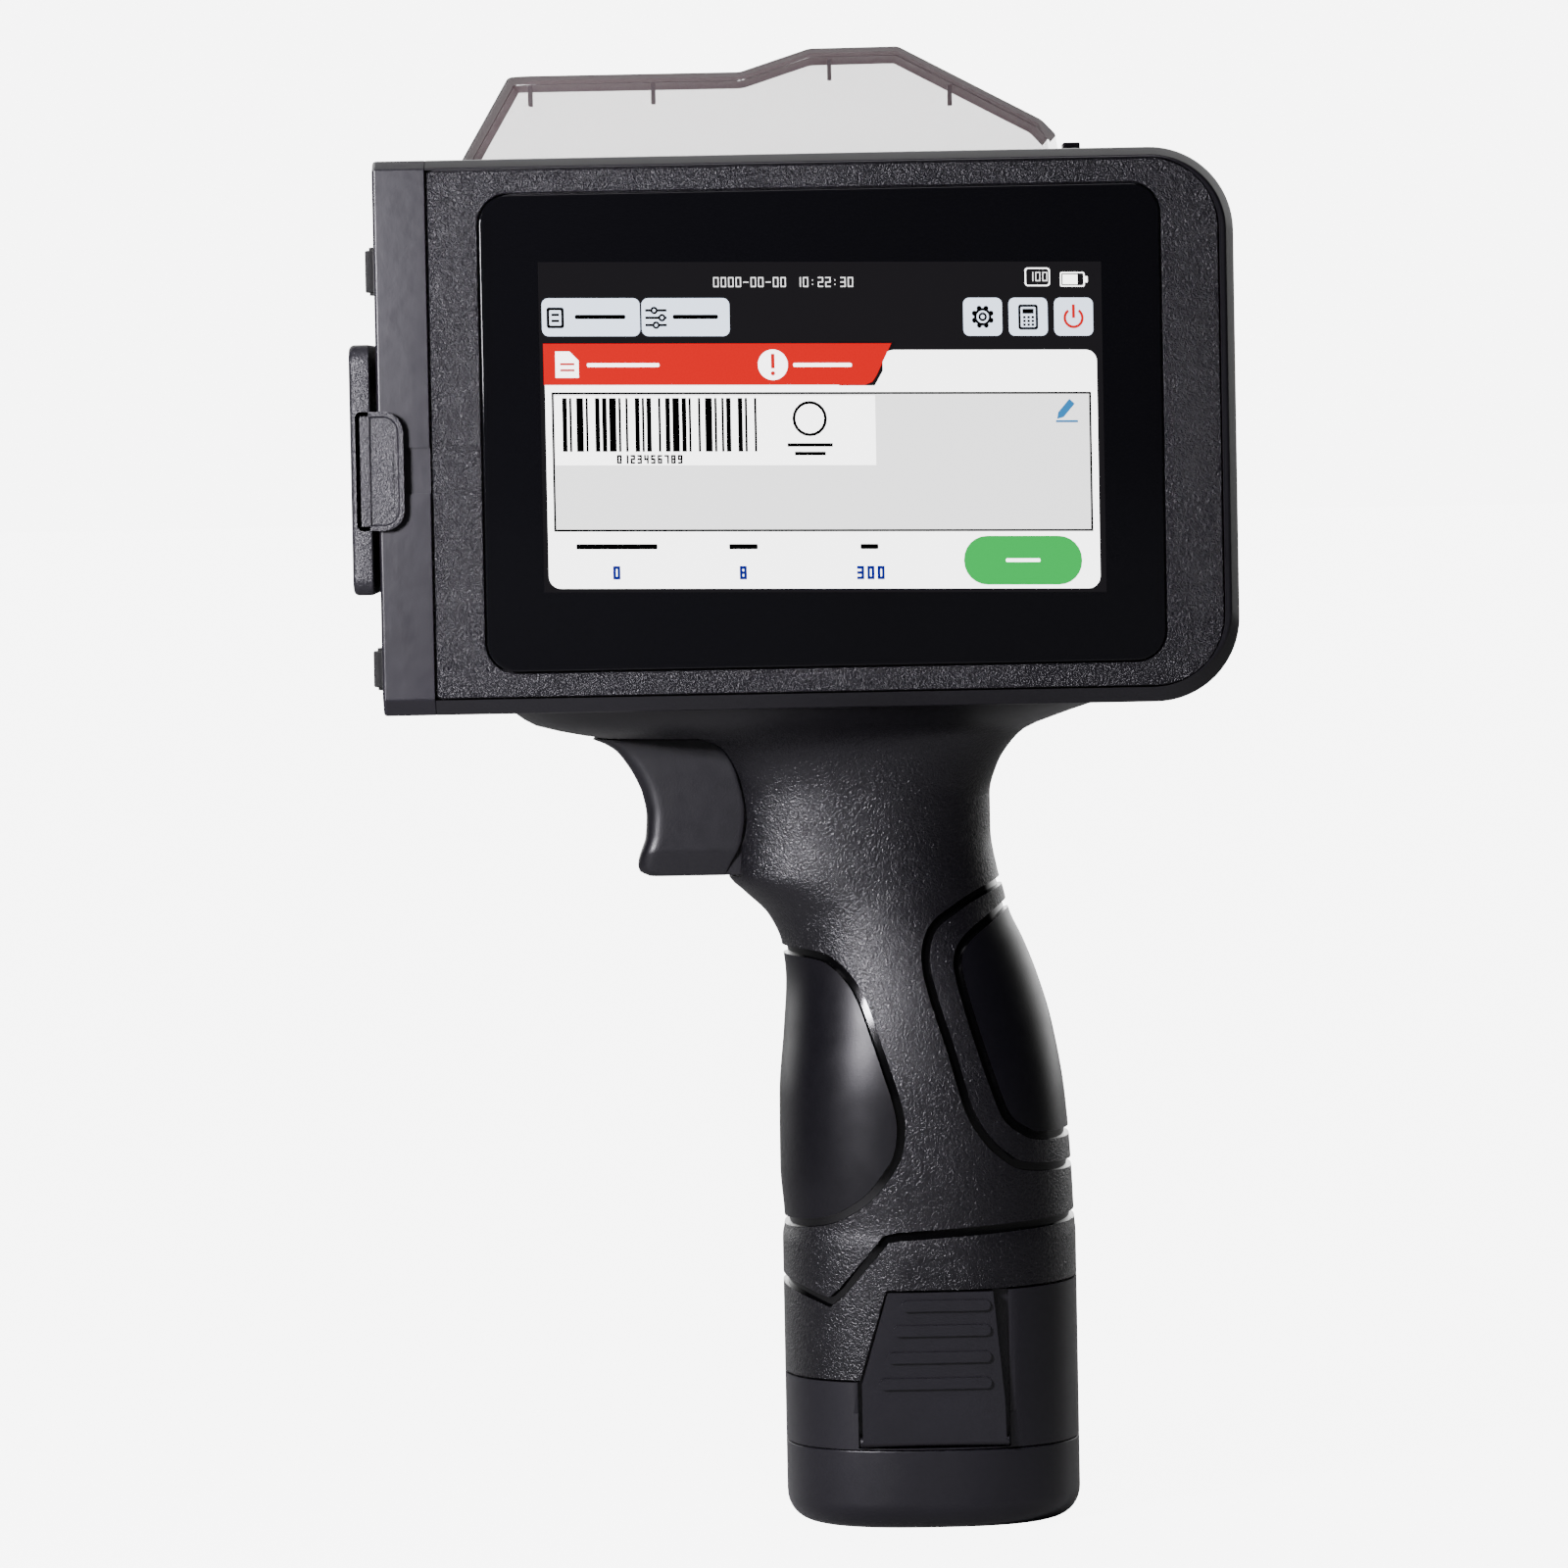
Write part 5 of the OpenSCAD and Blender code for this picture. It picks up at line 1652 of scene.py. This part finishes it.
@dataclass
class BatteryPack:
    """The battery pack's casings and squeeze clips."""

    shop: Workshop
    low: float = 13.7
    high: float = 75.0
    radius: float = 21.4
    flat: float = 19.8
    wall: float = 0.95
    half_width: float = 25.0
    half_depth: float = 23.0
    power: float = 2.6
    points: int = 96

    def outline(self, inwards: float) -> list[Point]:
        """Returns the pack's outline, drawn smaller by a distance inwards."""
        width, depth = self.half_width - inwards, self.half_depth - inwards
        return [superellipse(-width, width, depth, self.power, 360 * i / self.points)
                for i in range(self.points)]

    def build_base(self) -> None:
        """Builds the base cap: a cup with a well rounded lower edge."""
        top, reach, drop = 13.5, 4.6, 4.2
        bm = bmesh.new()
        rings = []
        for z in (*(reach * (1 - math.cos(math.radians(10 * i))) for i in range(10)), top):
            inwards = drop * (1 - math.sqrt(max(0.0, 1 - max(0.0, 1 - z / reach) ** 2)))
            rings.append([bm.verts.new(Vector((x, y, z)) * MM) for x, y in self.outline(inwards)])
        for lower, upper in zip(rings, rings[1:]):
            for i, vert in enumerate(lower):
                bm.faces.new((lower[i - 1], vert, upper[i], upper[i - 1]))
        bm.faces.new(rings[0])
        bm.faces.new(rings[-1])
        bmesh.ops.recalc_face_normals(bm, faces=bm.faces)
        well = prism(self.stem(self.radius - self.wall, self.flat - self.wall), Axis.Z, 3, top + 1)
        bm = self.shop.cut(bm, [well])
        self.shop.piece("pack_base", soften(bm, 0.25, 2, 60), [Finishes.PACK], "battery_pack",
                        ["battery_base_cap"])

    def stem(self, radius: float, half: float) -> list[Point]:
        """Returns the outline of the round stem with its near and far sides cut flat."""
        turns = (2 * math.pi * i / self.points for i in range(self.points))
        return [(radius * math.cos(t), max(-half, min(half, radius * math.sin(t)))) for t in turns]

    def build(self) -> None:
        """Builds the shell, the base cap and the squeeze clips."""
        over = [(-40, 25.05), (-12.4, 25.05), (-7.8, 40.25), (10.5, 40.25), (40, 41.0), (40, 60), (-40, 60)]
        window = [(-12.8, 13.9), (12.8, 13.9), (12.8, 60), (-7.9, 60), (-8.2, 40.6), (-12.8, 25.4)]
        slots = [Rect(left, right, 19.8, top, (0.75, 0.75, 0.1, 0.1)).solid(Axis.Y, *reach, 6)
                 for left, right, top in ((-14.0, -12.2, 26), (12.1, 13.8, 42))
                 for reach in ((-30, -21), (21, 30))]
        shell = self.shop.cut(prism(self.outline(0), Axis.Z, self.low, 43), [
            prism(over, Axis.Y, -40, 40), prism(window, Axis.Y, -30, -self.flat),
            prism(window, Axis.Y, self.flat, 30), *slots])
        stem = prism(self.stem(self.radius, self.flat), Axis.Z, self.low, self.high)
        shell = self.shop.cut(shell, [stem], "UNION")
        shell = self.shop.cut(shell, [
            prism(self.stem(self.radius - self.wall, self.flat - self.wall), Axis.Z,
                  self.low - 1, self.high - 1.6),
            *(block((x - 1.2, -3.4, self.high - 3), (x + 1.2, 3.4, self.high + 1)) for x in (-6, 0, 6))])
        self.shop.piece("pack_shell", soften(merge_flat(shell), 0.25, 2, 30), [Finishes.PACK], "battery_pack",
                        ["battery_shell"])
        self.build_base()
        for side in ("near", "far"):
            self.shop.stand_in(f"battery_clip_{side}", 0.3, f"squeeze_clip_{side}", steps=3)


@dataclass
class EndPanel:
    """The panel with the power button and the ports."""

    shop: Workshop

    def build(self) -> None:
        """Builds the panel, the button and the rubber flap."""
        self.shop.stand_in("io_panel", 0.3, "port_panel")
        self.shop.stand_in("power_button", 0.4, "power_key")
        high = self.shop.size("port_flap")[1]
        bm = self.shop.rounded("port_flap", 0.3)
        for i in range(3):
            z = 185 + 3 * i
            rib = Rect(-6, 3, z - 0.6, z + 0.6, (0.6,) * 4)
            add(bm, soften(rib.solid(Axis.X, high.x - 0.2, high.x + 0.1), 0.15))
        self.shop.piece("rubber_flap", bm, [Finishes.RUBBER], "port_flap", ["port_flap"])


# ---------------------------------------------------------------- studio

def aimed(place: Sequence[float], target: Sequence[float]) -> Matrix:
    """Returns the matrix of a light or a camera that hangs at a place and points at a target."""
    look = (Vector(target) - Vector(place)).to_track_quat("-Z", "Y")
    return Matrix.Translation(place) @ look.to_matrix().to_4x4()


@dataclass
class Studio:
    """The floor, the lights and the camera."""

    eye: tuple[float, float, float] = (-0.020, -1.3, 0.1887)
    aim: tuple[float, float, float] = (-0.0233, 0.0, 0.125)
    roll: float = 1.1
    lens: float = 175.5
    white: float = 7.0
    dim_front: float = 0.02
    cool: tuple[float, float, float] = (0.95, 0.92, 1.0)
    bright_back: float = 3.2

    def build_camera(self) -> None:
        """Places the camera in front of the screen, a little above it."""
        data = bpy.data.cameras.new("camera")
        data.lens = self.lens
        data.sensor_width = 36
        data.clip_end = 50
        made = placed("camera", data)
        tilt = Matrix.Rotation(math.radians(-self.roll), 4, "Z")
        made.matrix_world = aimed(self.eye, self.aim) @ tilt
        bpy.context.scene.camera = made

    def glow(self, shader_tree: bpy.types.NodeTree, socket: bpy.types.NodeSocket, seen: float,
             shed: object) -> None:
        """Makes a strength that is one number in direct view and another in the light it sheds.

        Args:
            shader_tree: The tree that holds the socket.
            socket: The strength to feed.
            seen: Strength in direct view.
            shed: Strength, or an output, for every other ray.
        """
        path = shader_tree.nodes.new("ShaderNodeLightPath")
        mixed = shader_tree.nodes.new("ShaderNodeMix")
        shader_tree.links.new(path.outputs["Is Camera Ray"], mixed.inputs[0])
        if isinstance(shed, bpy.types.NodeSocket):
            shader_tree.links.new(shed, mixed.inputs[2])
        else:
            mixed.inputs[2].default_value = shed
        mixed.inputs[3].default_value = seen
        shader_tree.links.new(mixed.outputs[0], socket)

    def build_floor(self) -> None:
        """Lays a pale floor."""
        bm = bmesh.new()
        bmesh.ops.create_grid(bm, x_segments=1, y_segments=1, size=12)
        mesh = bpy.data.meshes.new("floor")
        bm.to_mesh(mesh)
        bm.free()
        floor = placed("floor", mesh)
        s = Shader("pale_floor")
        s.set(Base_Color=(0.3, 0.3, 0.3, 1), Roughness=0.9, Emission_Color=(1, 1, 1, 1))
        self.glow(s.tree, s.surface.inputs["Emission Strength"], self.white, 0.0)
        mesh.materials.append(s.material)

    def area(self, name: str, place: Sequence[float], target: Sequence[float], size: Point,
             power: float) -> None:
        """Adds a soft box light.

        Args:
            name: The light's name.
            place: Where it hangs, in metres.
            target: What it points at.
            size: Its width and height.
            power: Its power in watts.
        """
        data = bpy.data.lights.new(name, "AREA")
        data.shape = "RECTANGLE"
        data.size, data.size_y = size
        data.energy = power
        data.color = self.cool
        made = placed(name, data)
        made.visible_camera = False
        made.matrix_world = aimed(place, target)

    def build_light(self) -> None:
        """Hangs the soft boxes and lights the room, bright behind the object and dim before it."""
        self.area("key", (-0.225, -0.31, 0.225), (-0.02, 0, 0.12), (0.065, 0.065), 3.3)
        self.area("top", (0.0, -0.40, 1.0), (0, 0, 0.12), (0.5, 0.3), 2.4)
        world = bpy.data.worlds.new("studio")
        world.use_nodes = True
        tree = world.node_tree
        facing = tree.nodes.new("ShaderNodeTexCoord")
        split = tree.nodes.new("ShaderNodeSeparateXYZ")
        tree.links.new(facing.outputs["Generated"], split.inputs[0])
        ramp = tree.nodes.new("ShaderNodeMapRange")
        tree.links.new(split.outputs["Y"], ramp.inputs["Value"])
        for socket, value in zip(("From Min", "From Max", "To Min", "To Max"),
                                 (0.4, 0.95, self.dim_front, self.bright_back)):
            ramp.inputs[socket].default_value = value
        background = tree.nodes["Background"]
        background.inputs["Color"].default_value = (1, 1, 1, 1)
        self.glow(tree, background.inputs["Strength"], self.white, ramp.outputs["Result"])
        bpy.context.scene.world = world

    def build(self) -> None:
        """Builds the studio."""
        self.build_camera()
        self.build_floor()
        self.build_light()


def main() -> None:
    """Builds the printer's visible pieces around the frame, in order."""
    logging.basicConfig(level=logging.INFO, format="%(name)s: %(message)s")
    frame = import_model()
    Studio().build()
    shop = Workshop(frame, Finishes())
    for part in (HeadCasings(shop), Screen(shop), PrintEnd(shop), CartridgeCover(shop), Grip(shop),
                 BatteryPack(shop), EndPanel(shop)):
        part.build()
        LOG.info("%s done", type(part).__name__)
    shop.dress_the_rest()


if __name__ == "__main__":
    main()
